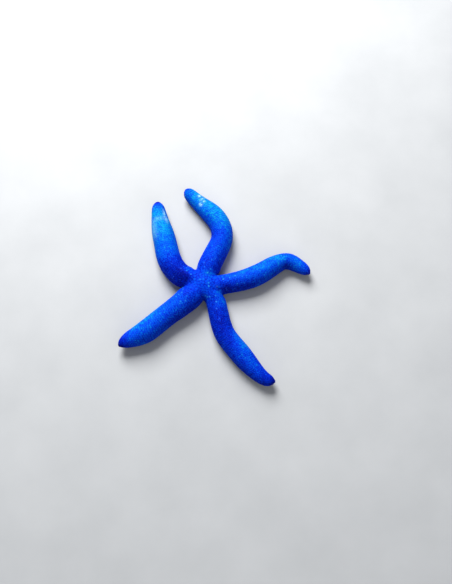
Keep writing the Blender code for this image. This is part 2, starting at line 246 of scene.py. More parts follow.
# ---------------- node graphs
class Graph:
    """Adds nodes to a tree and joins them, one call for each node."""

    def __init__(self, tree: NodeTree) -> None:
        """Starts on a tree, which keeps its nodes."""
        self.tree = tree

    def node(self, kind: str, inputs: dict | None = None, **settings: Any) -> Node:
        """Adds a node.

        Args:
            kind: The node's type name.
            inputs: A value or another node's output for each input, by name or number.
            settings: The node's own settings.

        Returns:
            The new node.
        """
        made = self.tree.nodes.new(kind)
        for name, value in settings.items():
            setattr(made, name, value)
        self.feed(made, inputs or {})
        return made

    def feed(self, target: Node, inputs: dict) -> None:
        """Gives each of a node's inputs, by name or number, a value or another's output."""
        for key, value in inputs.items():
            if isinstance(value, NodeSocket):
                self.tree.links.new(value, target.inputs[key])
            else:
                target.inputs[key].default_value = value

    def math(self, operation: str, first: Any, second: Any = 0.0, third: Any = 0.0,
             clamp: bool = False) -> NodeSocket:
        """The output of one sum of numbers or outputs, kept between 0 and 1 if clamped."""
        made = self.node("ShaderNodeMath", {0: first, 1: second, 2: third},
                         operation=operation, use_clamp=clamp)
        return made.outputs[0]

    def flow(self, kind: str, geometry: Any, inputs: dict | None = None,
             **settings: Any) -> NodeSocket:
        """The geometry that a node makes of another, its kind given without GeometryNode."""
        made = self.node("GeometryNode" + kind, {"Geometry": geometry, **(inputs or {})},
                         **settings)
        return made.outputs["Geometry"]

    def stored(self, name: Any, data_type: str = "FLOAT") -> NodeSocket:
        """The output that reads an attribute of the geometry by its name."""
        return self.node("GeometryNodeInputNamedAttribute", {"Name": name},
                         data_type=data_type).outputs["Attribute"]

    def chance(self, low: Any, high: Any, seed: Any) -> NodeSocket:
        """The output of a random number between two others."""
        return self.node("FunctionNodeRandomValue", {2: low, 3: high, "Seed": seed},
                         data_type="FLOAT").outputs[1]

    def fact(self, name: str) -> NodeSocket:
        """The output that reads one of the piece's own attributes in a shader."""
        return self.node("ShaderNodeAttribute", attribute_name=name).outputs["Fac"]

    def noise(self, scale: Any, detail: float = 3.0, roughness: float = 0.55) -> NodeSocket:
        """Noise on the piece's own coordinates, about 0.5, its scale in waves to a metre."""
        place = self.node("ShaderNodeTexCoord").outputs["Object"]
        return self.node("ShaderNodeTexNoise", {"Vector": place, "Scale": scale, "Detail": detail,
                                                "Roughness": roughness}).outputs[0]

    def ramp(self, share: Any, stops: tuple[tuple[float, Colour], ...]) -> NodeSocket:
        """A colour from a row of stops.

        Args:
            share: The output that picks the place on the row.
            stops: The place and the linear colour of each stop.

        Returns:
            The colour's output.
        """
        made = self.node("ShaderNodeValToRGB", {0: share})
        row = made.color_ramp.elements
        for number, (place, colour) in enumerate(stops):
            stop = row[number] if number < 2 else row.new(place)
            stop.position, stop.color = place, (*colour, 1.0)
        return made.outputs[0]

    def mix(self, share: Any, first: Any, second: Any) -> NodeSocket:
        """The output of a mix of two colours by a share."""
        colours = {key: (*value, 1.0) if isinstance(value, tuple) else value
                   for key, value in ((6, first), (7, second))}
        made = self.node("ShaderNodeMix", {0: share, **colours}, data_type="RGBA",
                         clamp_factor=True)
        return made.outputs[2]


def new_group(name: str, kind: str, inputs: dict[str, tuple[str, Any]],
              outputs: dict[str, str]) -> tuple[Graph, Any, Node]:
    """A node group with named sockets.

    Args:
        name: The group's name.
        kind: Either ShaderNodeTree or GeometryNodeTree.
        inputs: The type and the first value of each input, None where it has no value.
        outputs: The type of each output.

    Returns:
        The graph, the outputs of its input node, and its output node.
    """
    tree = bpy.data.node_groups.new(name, kind)
    for socket_name, (socket_type, value) in inputs.items():
        socket = tree.interface.new_socket(socket_name, in_out="INPUT", socket_type=socket_type)
        if value is not None:
            socket.default_value = value
    for socket_name, socket_type in outputs.items():
        tree.interface.new_socket(socket_name, in_out="OUTPUT", socket_type=socket_type)
    graph = Graph(tree)
    return graph, graph.node("NodeGroupInput").outputs, graph.node("NodeGroupOutput")


FLOAT, COLOUR, GEOMETRY = "NodeSocketFloat", "NodeSocketColor", "NodeSocketGeometry"
INT, STRING, OBJECT, MATERIAL = ("NodeSocketInt", "NodeSocketString", "NodeSocketObject",
                                 "NodeSocketMaterial")


# ---------------- the body's form
@dataclass(frozen=True)
class Arm:
    """One arm, in metres and degrees.

    It leaves the disc's centre at a heading, and turns by each of its turns in order over
    equal stretches of its length. Its last stretch, the cap, is rounded off. The notch is the
    one between it and the next arm.
    """

    name: str
    heading: float
    length: float
    cap: float
    halves: tuple[float, ...]
    turns: tuple[float, ...]
    notch_radius: float
    notch_bearing: float

    half_shares: tuple[float, ...] = (0.18, 0.45, 0.70, 0.90)
    height_share: float = 0.87

    def centreline(self, distance: float) -> tuple[Vector, float]:
        """Place and heading of the centreline.

        Args:
            distance: Distance along it from the disc's centre.

        Returns:
            The place on the ground and the heading in radians.
        """
        stretch = self.length / len(self.turns)
        place, heading, left = Vector((0.0, 0.0, 0.0)), math.radians(self.heading), distance
        for turn in self.turns:
            travel = min(left, stretch)
            bend = math.radians(turn) * travel / stretch
            chord = travel if abs(bend) < 1e-9 else travel * math.sin(bend / 2) / (bend / 2)
            place = place + direction(heading + bend / 2) * chord
            heading += bend
            left -= travel
        return place + direction(heading) * left, heading

    def bend_at(self, distance: np.ndarray) -> np.ndarray:
        """Bend at some distances, in radians a metre to the left, evened out between turns."""
        stretch = self.length / len(self.turns)
        middles = (np.arange(len(self.turns)) + 0.5) * stretch
        return np.interp(distance, middles, np.radians(self.turns) / stretch)

    @property
    def cap_start(self) -> float:
        """Distance at which the rounded cap begins."""
        return self.length - self.cap

    def half_width(self, distance: Any) -> Any:
        """Half-width at a distance, without the cap's rounding."""
        share = distance / self.length
        half = self.halves[0]
        steps = zip(self.half_shares, self.half_shares[1:], self.halves, self.halves[1:])
        for start, end, before, after in steps:
            half = half + (after - before) * smooth_step(start, end, share)
        return half

    def height(self, distance: float) -> float:
        """Height at a distance, without the cap's rounding."""
        return 2.0 * self.height_share * float(self.half_width(distance))

    def squeeze(self, distance: float) -> float:
        """Share of the full section that is left at a distance, 1 before the cap."""
        into_cap = max(distance - self.cap_start, 0.0) / (self.length - self.cap_start)
        return math.sqrt(max(1.0 - into_cap ** 2, 0.0))

    def notch_point(self, inside: float = 0.0, height: float = 0.0) -> Vector:
        """A point on the notch after the arm, some way inside its radius."""
        return polar(self.notch_radius - inside, self.notch_bearing, height)

    def station_beside(self, place: Vector) -> float:
        """Distance along the centreline at which a place lies straight to its side."""
        distance = place.length
        for _ in range(12):
            on_line, heading = self.centreline(distance)
            distance += (place - on_line).dot(direction(heading))
        return distance


# Anticlockwise from the arm on the +X side.
ARMS = (
    Arm("c", 0, 0.122, 0.014, (0.0105, 0.0115, 0.0100, 0.0075),
        (10, 5, 15, 5, -67, -15), 0.016, 45),
    Arm("b", 90, 0.130, 0.009, (0.0125, 0.0120, 0.0115, 0.0075),
        (-18, -15, 43, 35, 5, -15), 0.020, 125),
    Arm("a", 150, 0.120, 0.011, (0.0125, 0.0130, 0.0120, 0.0080),
        (15, -40, -24, 5, -5, -5), 0.024, 185),
    Arm("e", 200, 0.112, 0.020, (0.0135, 0.0120, 0.0120, 0.0095),
        (30, -15, 5, 0, -20, 25), 0.016, 260),
    Arm("d", 315, 0.130, 0.012, (0.0105, 0.0110, 0.0110, 0.0075),
        (-30, -5, 30, 0, 0, 50), 0.020, 330),
)
ARM_NAMES = tuple(arm.name for arm in ARMS)
ARM_PARTS = ("base", "middle", "tip")


class Region(Enum):
    """The regions of the disc's skin. An arm's region is its place in ARMS."""

    TOP = 5
    UNDER = 6
    MOUTH = 7


@dataclass(frozen=True)
class BodyCage:
    """The coarse closed cage of the whole animal, as the solids have it."""

    disc_height: float = 0.0232
    section: tuple[Span, ...] = (
        (0.00, 1.03), (0.55, 0.95), (0.99, 0.67), (1.04, 0.27), (0.76, 0.00), (0.46, 0.00),
        (0.19, 0.00))
    section_middle: float = 0.46
    tip_lift: float = 0.0030
    tip_lift_start: float = 0.82
    notch_steps: tuple[Span, ...] = ((0.0045, 1.0), (0.0115, 0.5))
    even_rings: int = 6
    cap_rings: tuple[float, ...] = (0.00, 0.50, 0.90)
    hold_rounds: int = 4
    notch_section: tuple[Span, ...] = (
        (0.0056, 0.74), (0.0012, 0.50), (0.0003, 0.22), (0.0030, 0.00))
    groove_depth: float = 0.0045
    groove_tip_depth: float = 0.0007
    groove_closing: Span = (0.78, 0.90)
    mouth_radius: float = 0.0062
    mouth_depth: float = 0.0058
    groove_mouth_half: float = 0.0016
    jaw_tip_radius: float = 0.0040
    jaw_lift: float = 0.0004
    jaw_middle_share: float = 0.56
    mouth_ring_share: float = 1.25
    mouth_draw: float = 0.55

    def ring_points(self, arm: Arm, distance: float, slant: float) -> list[Vector]:
        """The closed ring of cage points round an arm.

        Args:
            arm: The arm.
            distance: Where along it the ring stands.
            slant: How far the left side moves on and the right side back.

        Returns:
            The points from the top down the left side, across the groove and up the right.
        """
        share = distance / arm.length
        half = float(arm.half_width(distance))
        squeeze, height = arm.squeeze(distance), arm.height(distance)
        middle = self.section_middle * height
        lift = self.tip_lift * float(smooth_step(self.tip_lift_start, 1.0, share))

        def cage_point(out_share: float, up_share: float, side: int) -> Vector:
            """The point at a share out and a share up, on one side."""
            place, heading = arm.centreline(distance + slant * side * out_share)
            across = direction(heading + math.pi / 2)
            level = middle + (up_share * height - middle) * squeeze + lift
            return place + across * (side * out_share * half * squeeze) + UP * level

        left = [cage_point(out, up, 1) for out, up in self.section]
        right = [cage_point(out, up, -1) for out, up in self.section[1:]]
        closing = float(smooth_step(*self.groove_closing, share))
        depth = self.groove_depth + (self.groove_tip_depth - self.groove_depth) * closing
        roof = (left[-1] + right[-1]) / 2 + UP * depth
        return left + [roof] + right[::-1]

    def stations(self, index: int) -> list[Span]:
        """Distance and slant of each ring of an arm, the one at its notches first."""
        arm = ARMS[index]
        left = arm.station_beside(arm.notch_point())
        right = arm.station_beside(ARMS[index - 1].notch_point())
        root, slant = (left + right) / 2, (left - right) / 2
        stations = [(root, slant)]
        stations += [(root + step, slant * share) for step, share in self.notch_steps]
        start = stations[-1][0]
        stations += [(start + (arm.cap_start - start) * count / self.even_rings, 0.0)
                     for count in range(1, self.even_rings)]
        cap_length = arm.length - arm.cap_start
        return stations + [(arm.cap_start + cap_length * share, 0.0) for share in self.cap_rings]

    def hold_bends(self, rings: list[list[Vector]]) -> list[list[Vector]]:
        """Moves the rings before the cap sideways, so that the smoothed body passes where
        they stood and cuts no bend short.

        Args:
            rings: The rings of one arm.

        Returns:
            New rings, with the first and the cap's as they were.
        """
        held = [[point.copy() for point in ring] for ring in rings]
        for _ in range(self.hold_rounds):
            before = [[point.copy() for point in ring] for ring in held]
            for index in range(1, len(rings) - len(self.cap_rings)):
                for column, wanted in enumerate(rings[index]):
                    smoothed = (before[index - 1][column] + 6.0 * before[index][column]
                                + before[index + 1][column]) / 8.0
                    held[index][column].xy += wanted.xy - smoothed.xy
        return held

    def lengths_round(self, half: float, levels: int = 3) -> np.ndarray:
        """Lengths round one side of an arm's smoothed section, from its top to each column.

        Args:
            half: The arm's half-width there.
            levels: How often the section is subdivided.

        Returns:
            The lengths, with 0 for the top first and the groove's roof last.
        """
        height = 2.0 * Arm.height_share * half
        left = [(out * half, up * height) for out, up in self.section]
        right = [(-out, up) for out, up in left[:0:-1]]
        ring = np.array(left + [(0.0, self.groove_depth)] + right)
        for _ in range(levels):
            after = np.roll(ring, -1, axis=0)
            corners = (np.roll(ring, 1, axis=0) + 6.0 * ring + after) / 8.0
            ring = np.stack((corners, (ring + after) / 2.0), axis=1).reshape(-1, 2)
        steps = np.linalg.norm(np.roll(ring, -1, axis=0) - ring, axis=1)
        travel = np.concatenate(([0.0], np.cumsum(steps)))
        return travel[:len(ring) // 2 + 1:2 ** levels]


class CageBuilder:
    """Puts the faces of a body cage together, with each face's region and places."""

    def __init__(self, sizes: BodyCage) -> None:
        """Starts an empty cage of the given sizes."""
        self.sizes = sizes
        self.shape = bmesh.new()
        self.place = self.shape.loops.layers.uv.new("place")
        self.region = self.shape.faces.layers.int.new("region")

    def face(self, region: int, corners: list[tuple[Any, Span]]) -> None:
        """Adds one face.

        Args:
            region: The number of its region.
            corners: Each corner's point, and its place on the region's map.
        """
        made = self.shape.faces.new([vert for vert, _ in corners])
        made[self.region] = region
        for loop, (_, place) in zip(made.loops, corners):
            loop[self.place].uv = place

    def flat_face(self, region: Region, verts: list[Any]) -> None:
        """Adds a face of the disc, whose map is a plan, drawn in where the mouth rises."""
        corners, draw = [], self.sizes.mouth_draw if region is Region.MOUTH else 0.0
        for vert in verts:
            shrink = 1.0 - draw * float(smooth_step(0.001, self.sizes.mouth_depth, vert.co.z))
            corners.append((vert, tuple(vert.co.xy * shrink)))
        self.face(region.value, corners)

    def arm(self, index: int, left: list[Any], right: list[Any]) -> list[Any]:
        """Adds the rings of one arm, from the one it shares with the notches.

        Args:
            index: The arm's place in ARMS.
            left: The points down its left notch.
            right: The points down its right notch.

        Returns:
            The points of that first ring.
        """
        sizes, arm = self.sizes, ARMS[index]
        stations = sizes.stations(index)
        rings = [sizes.ring_points(arm, distance, slant) for distance, slant in stations]
        root = rings[0]
        roof = len(root) // 2
        root[0].z = (sizes.disc_height * sizes.section[0][1] + root[0].z) / 2
        for place, vert in enumerate(left, start=1):
            root[place] = vert.co.copy()
            root[-place] = right[place - 1].co.copy()
        top = self.shape.verts.new(root[0])
        under = [self.shape.verts.new(point) for point in root[roof - 2:roof + 3]]
        first = ring = [top] + left + under + right[::-1]
        count = len(ring)
        columns = [(column, (column + 1) % count, column if column < roof else column - count)
                   for column in range(count)]
        travel = stations[0][0]
        for (distance, _), points in zip(stations[1:], sizes.hold_bends(rings)[1:]):
            following = [self.shape.verts.new(point) for point in points]
            for column, after, low in columns:
                self.face(index, [(ring[column], (travel, low)), (ring[after], (travel, low + 1)),
                                  (following[after], (distance, low + 1)),
                                  (following[column], (distance, low))])
            ring, travel = following, distance
        end, _ = arm.centreline(arm.length)
        end.z = sizes.tip_lift + sizes.section_middle * arm.height(arm.length)
        tip = self.shape.verts.new(end)
        for column, after, low in columns:
            self.face(index, [(ring[column], (travel, low)), (ring[after], (travel, low + 1)),
                              (tip, (arm.length, low + 0.5))])
        return first

    def underside(self, first_rings: list[list[Any]]) -> None:
        """Adds the inner ends of the grooves, the jaws and the hollow of the mouth."""
        sizes = self.sizes
        ends = []
        for arm in ARMS:
            along = arm.centreline(sizes.mouth_radius)[0].normalized()
            side = Vector((-along.y, along.x, 0.0)) * sizes.groove_mouth_half
            edge = along * sizes.mouth_radius + UP * sizes.jaw_lift
            roof = along * sizes.mouth_radius + UP * sizes.groove_depth
            ends.append([self.shape.verts.new(point) for point in (edge - side, roof, edge + side)])
        mouth = []
        for index, arm in enumerate(ARMS):
            after = (index + 1) % len(ARMS)
            right, middle, left = ends[index]
            next_right = ends[after][0]
            foot, outer, inner, roof, right_inner = first_rings[index][4:9]
            next_inner, next_outer = first_rings[after][8:10]
            jaw_tip = self.shape.verts.new(
                polar(sizes.jaw_tip_radius, arm.notch_bearing, sizes.jaw_lift))
            jaw = self.shape.verts.new(
                polar(arm.notch_radius * sizes.jaw_middle_share, arm.notch_bearing))
            for corners in ((inner, roof, middle, left), (roof, right_inner, right, middle),
                            (foot, outer, jaw, next_outer), (outer, inner, left, jaw),
                            (jaw, next_right, next_inner, next_outer),
                            (jaw, left, jaw_tip, next_right)):
                self.flat_face(Region.UNDER, list(corners))
            mouth += [right, middle, left, jaw_tip]
        ring = []
        for vert in mouth:
            outward = vert.co.xy.normalized() * sizes.jaw_tip_radius * sizes.mouth_ring_share
            ring.append(self.shape.verts.new((*outward, sizes.mouth_depth)))
        for index in range(len(mouth)):
            self.flat_face(Region.MOUTH, [mouth[index - 1], mouth[index], ring[index],
                                          ring[index - 1]])
        ceiling = self.shape.verts.new((0.0, 0.0, sizes.mouth_depth))
        for index in range(0, len(ring), 2):
            self.flat_face(Region.MOUTH, [ceiling, ring[index - 2], ring[index - 1], ring[index]])

    def mesh(self) -> Mesh:
        """Adds everything and closes the cage.

        The mesh's face attribute region tells the arm or the part of the disc. Its UV map
        place holds, on the arms, the distance along and the column round, from -7 to 7 with
        0 on top, and on the disc a place on the ground.

        Returns:
            The mesh, with its faces pointing out.
        """
        sizes = self.sizes
        columns = [[self.shape.verts.new(arm.notch_point(inside, share * sizes.disc_height))
                    for inside, share in sizes.notch_section] for arm in ARMS]
        rings = [self.arm(index, columns[index], columns[index - 1]) for index in range(len(ARMS))]
        centre = self.shape.verts.new((0.0, 0.0, sizes.disc_height * sizes.section[0][1]))
        for ring in rings:
            self.flat_face(Region.TOP, [centre, ring[-1], ring[0], ring[1]])
        self.underside(rings)
        return outward_mesh(self.shape, "cage")


# ---------------- the skin's markings
class Tone(Enum):
    """A tone that a wash or a patch lays over the blue of the body: azure is partly the body's own
    lighter blue and partly painted light, deep is mostly painted shade, and pale is partly painted
    glints and partly pale worn spots.
    """

    AZURE = "azure"
    DEEP = "deep"
    PALE = "pale"


AZURE, DEEP, PALE = Tone


@dataclass(frozen=True)
class Wash:
    """A soft patch of a tone on one arm. Many of them are painted light and shade: azure on the lit
    sides, deep on the shaded sides and in the notches.

    It runs between two shares of the arm's length, and round the arm from a column: 0 is the
    top, 1 to 3 the left side and -1 to -3 the right side.
    """

    arm: str
    tone: Tone
    start: float
    end: float
    column: float
    reach: float
    strength: float
    soft: float = 0.05

    def mask(self, share: np.ndarray, column: np.ndarray) -> np.ndarray:
        """Strength of the wash at each share of the arm's length and column round it."""
        along = smooth_step(self.start - self.soft, self.start + self.soft, share)
        along = along * (1.0 - smooth_step(self.end - self.soft, self.end + self.soft, share))
        return self.strength * along * bell(column - self.column, self.reach)


# Washes of the arms' own colour and of painted light and shade: azure on the sides towards the
# light, deep on the sides away from it and in the notches, pale as painted glints and pale worn
# spots.
TONE_LIGHT_AND_SHADE_WASHES = (
    Wash("a", AZURE, 0.44, 0.94, 0.3, 4.5, 0.60, 0.07),
    Wash("a", AZURE, 0.64, 0.94, 0.2, 3.5, 0.34, 0.06),
    Wash("a", DEEP, 0.10, 0.38, 1.6, 2.2, 0.60, 0.08),
    Wash("a", PALE, 0.77, 0.90, -1.35, 0.26, 0.70, 0.04),
    Wash("a", PALE, 0.79, 0.83, 0.4, 2.0, 0.20, 0.02),
    Wash("a", PALE, 0.64, 0.78, 1.5, 0.6, 0.25, 0.05),
    Wash("b", AZURE, 0.18, 0.44, 0.3, 2.0, 0.16, 0.06),
    Wash("b", AZURE, 0.33, 0.44, -2.2, 1.3, 0.30, 0.04),
    Wash("b", AZURE, 0.49, 1.00, -0.8, 2.9, 0.94, 0.12),
    Wash("b", DEEP, 0.12, 0.32, -1.8, 1.3, 0.35, 0.08),
    Wash("b", PALE, 0.850, 0.872, -1.05, 0.42, 1.00, 0.010),
    Wash("b", PALE, 0.812, 0.826, -0.70, 0.55, 0.90, 0.010),
    Wash("b", PALE, 0.782, 0.796, -0.50, 0.26, 1.00, 0.010),
    Wash("b", PALE, 0.778, 0.806, 0.48, 0.32, 1.00, 0.010),
    Wash("c", AZURE, 0.16, 0.34, 1.1, 1.3, 0.35, 0.05),
    Wash("c", AZURE, 0.32, 0.72, 1.0, 1.6, 0.50, 0.08),
    Wash("c", AZURE, 0.64, 0.92, 0.2, 2.0, 0.40, 0.06),
    Wash("c", DEEP, 0.10, 0.38, -1.9, 1.2, 0.45, 0.08),
    Wash("d", DEEP, 0.24, 0.48, -0.4, 2.6, 0.55, 0.06),
    Wash("d", DEEP, 0.44, 0.95, -1.8, 1.5, 0.20, 0.06),
    Wash("d", AZURE, 0.44, 0.66, 1.5, 0.9, 0.45, 0.05),
    Wash("d", AZURE, 0.60, 0.85, 0.5, 1.3, 0.26, 0.06),
    Wash("d", DEEP, 0.49, 0.62, -0.3, 0.9, 0.34, 0.03),
    Wash("d", DEEP, 0.90, 1.20, 0.0, 9.0, 0.30, 0.04),
    Wash("e", AZURE, 0.22, 0.50, -1.0, 1.8, 0.34, 0.06),
    Wash("e", AZURE, 0.48, 0.84, -1.9, 1.3, 0.60, 0.06),
    Wash("e", AZURE, 0.52, 0.90, 0.4, 2.2, 0.28, 0.06),
    Wash("e", DEEP, 0.15, 0.50, 2.2, 1.3, 0.35, 0.08),
    Wash("e", DEEP, 0.91, 1.20, -1.5, 3.0, 0.35, 0.04),
) + tuple(Wash(name, DEEP, 0.97, 1.20, 0.0, 20.0, 0.75, 0.02) for name in ARM_NAMES)


@dataclass(frozen=True)
class Patch:
    """A soft round patch of a tone on the upper side, about the disc. The azure ones are painted
    highlights on ridges, the deep ones painted shade in the valleys between arms.

    Its place is on the ground, from the disc's centre, and its radius is where it has faded
    to about a third.
    """

    tone: Tone
    place: tuple[float, float]
    radius: float
    strength: float

    def mask(self, places: np.ndarray, up: np.ndarray) -> np.ndarray:
        """Strength of the patch at each place, by how far the skin there faces up."""
        away = ((places[:, :2] - np.array(self.place)) ** 2).sum(1)
        return self.strength * np.exp(-away / self.radius ** 2) * smooth_step(-0.1, 0.4, up)


# Painted highlights on the ridges that run from the disc into the arms, and painted shade in the
# valleys and notches between the arms.
DISC_HIGHLIGHTS_AND_SHADE = (
    Patch(AZURE, (0.0035, 0.0095), 0.0050, 0.38),
    Patch(AZURE, (-0.0025, 0.0115), 0.0040, 0.20),
    Patch(AZURE, (0.0130, -0.0100), 0.0040, 0.42),
    Patch(AZURE, (0.0175, -0.0200), 0.0045, 0.38),
    Patch(AZURE, (-0.0080, 0.0010), 0.0070, 0.16),
    Patch(AZURE, (0.0020, -0.0060), 0.0070, 0.10),
    Patch(AZURE, (-0.0200, 0.0155), 0.0045, 0.40),
    Patch(DEEP, (-0.0200, 0.0040), 0.0050, 0.80),
    Patch(DEEP, (-0.0260, 0.0090), 0.0060, 0.50),
    Patch(DEEP, (0.0215, -0.0050), 0.0055, 0.60),
)


@dataclass(frozen=True)
class PlateLayout:
    """How the limy plates lie: in rows across each arm, and loosely over the disc."""

    row_spacing: float = 0.0022
    column_spacing: float = 0.0025
    jitter: float = 0.00034
    disc_spacing: float = 0.0022
    typical_half: float = 0.012
    plated_share: float = 0.84
    first_row: float = 0.3
    pore_columns: float = 3.6
    pore_end_share: float = 0.93
    disc_pore_share: float = 1.15
    disc_pore_facing: float = 0.2
    disc_pore_gap: float = 0.46
    seed: int = 11

    @cached_property
    def column_places(self) -> np.ndarray:
        """Lengths round an arm from its top to each column, as shares of its half-width."""
        return BodyCage().lengths_round(self.typical_half) / self.typical_half

    @property
    def perimeter_share(self) -> float:
        """Length round an arm from its top to its groove's roof, as a share of its half-width."""
        return float(self.column_places[-1])

    def around(self, arm: Arm, distance: np.ndarray, column: np.ndarray) -> np.ndarray:
        """Distances round an arm from its top, along its surface, positive on the left."""
        share = np.interp(np.abs(column), np.arange(len(self.column_places)), self.column_places)
        return np.sign(column) * share * arm.half_width(distance)


# ---------------- the skin
@dataclass
class SkinPlan:
    """What is known of each point of the skin, in arrays of one number for each."""

    places: np.ndarray
    normals: np.ndarray
    region: np.ndarray
    along: np.ndarray
    column: np.ndarray
    around: np.ndarray

    def away_from(self, spot: Any) -> np.ndarray:
        """Distance of each point from a spot."""
        return np.sqrt(((self.places - np.array(spot)) ** 2).sum(1))


@dataclass(frozen=True)
class MarkSizes:
    """Sizes of the skin's marks. A span runs from where a mark is nothing to where it is full."""

    under_facing: Span = (0.10, 0.75)
    under_height: Span = (0.0075, 0.0035)
    sole_facing: Span = (0.0, 0.6)
    sole_height: Span = (0.0030, 0.0008)
    groove_columns: Span = (5.6, 6.3)
    groove_side: Span = (0.0034, 0.0020)
    groove_reach: Span = (0.005, 0.029)
    valley_width: float = 0.0009
    dome_radius: float = 0.0018
    fleck_radius: float = 0.0013
    fleck_tints: Span = (0.60, 1.0)
    pore_radius: float = 0.00060
    poreless_facing: Span = (-0.1, 0.3)
    sieve_radius: float = 0.0019
    eye_radius: float = 0.0010
    rim_share: float = 1.15
    rim_width: float = 0.00045
    bare_shares: Span = (1.0, 0.8)
    socket_shares: Span = (2.4, 1.1)
    terminal_lift: float = 0.0026
    terminal_radii: Span = (0.0027, 0.0014)
    freckle_radius: float = 0.0010
    freckle_tints: Span = (0.88, 0.96)
    freckle_reach: Span = (0.050, 0.018)
    freckle_tones: tuple[tuple[str, float, float], ...] = (
        ("pale", 0.01, 0.08), ("azure", 0.08, 0.44))
    crease_bends: Span = (0.20, 0.60)
    crease_columns: Span = (-0.8, 1.8)
    crease_root: float = 0.004
    wash_root: float = 0.006
    fold_spacing: float = 0.0029
    fold_waves: Span = (0.25, 0.95)
    fold_bow: float = 0.5
    fold_bow_waves: float = 2.1
    ridge_spacing: float = 0.0019


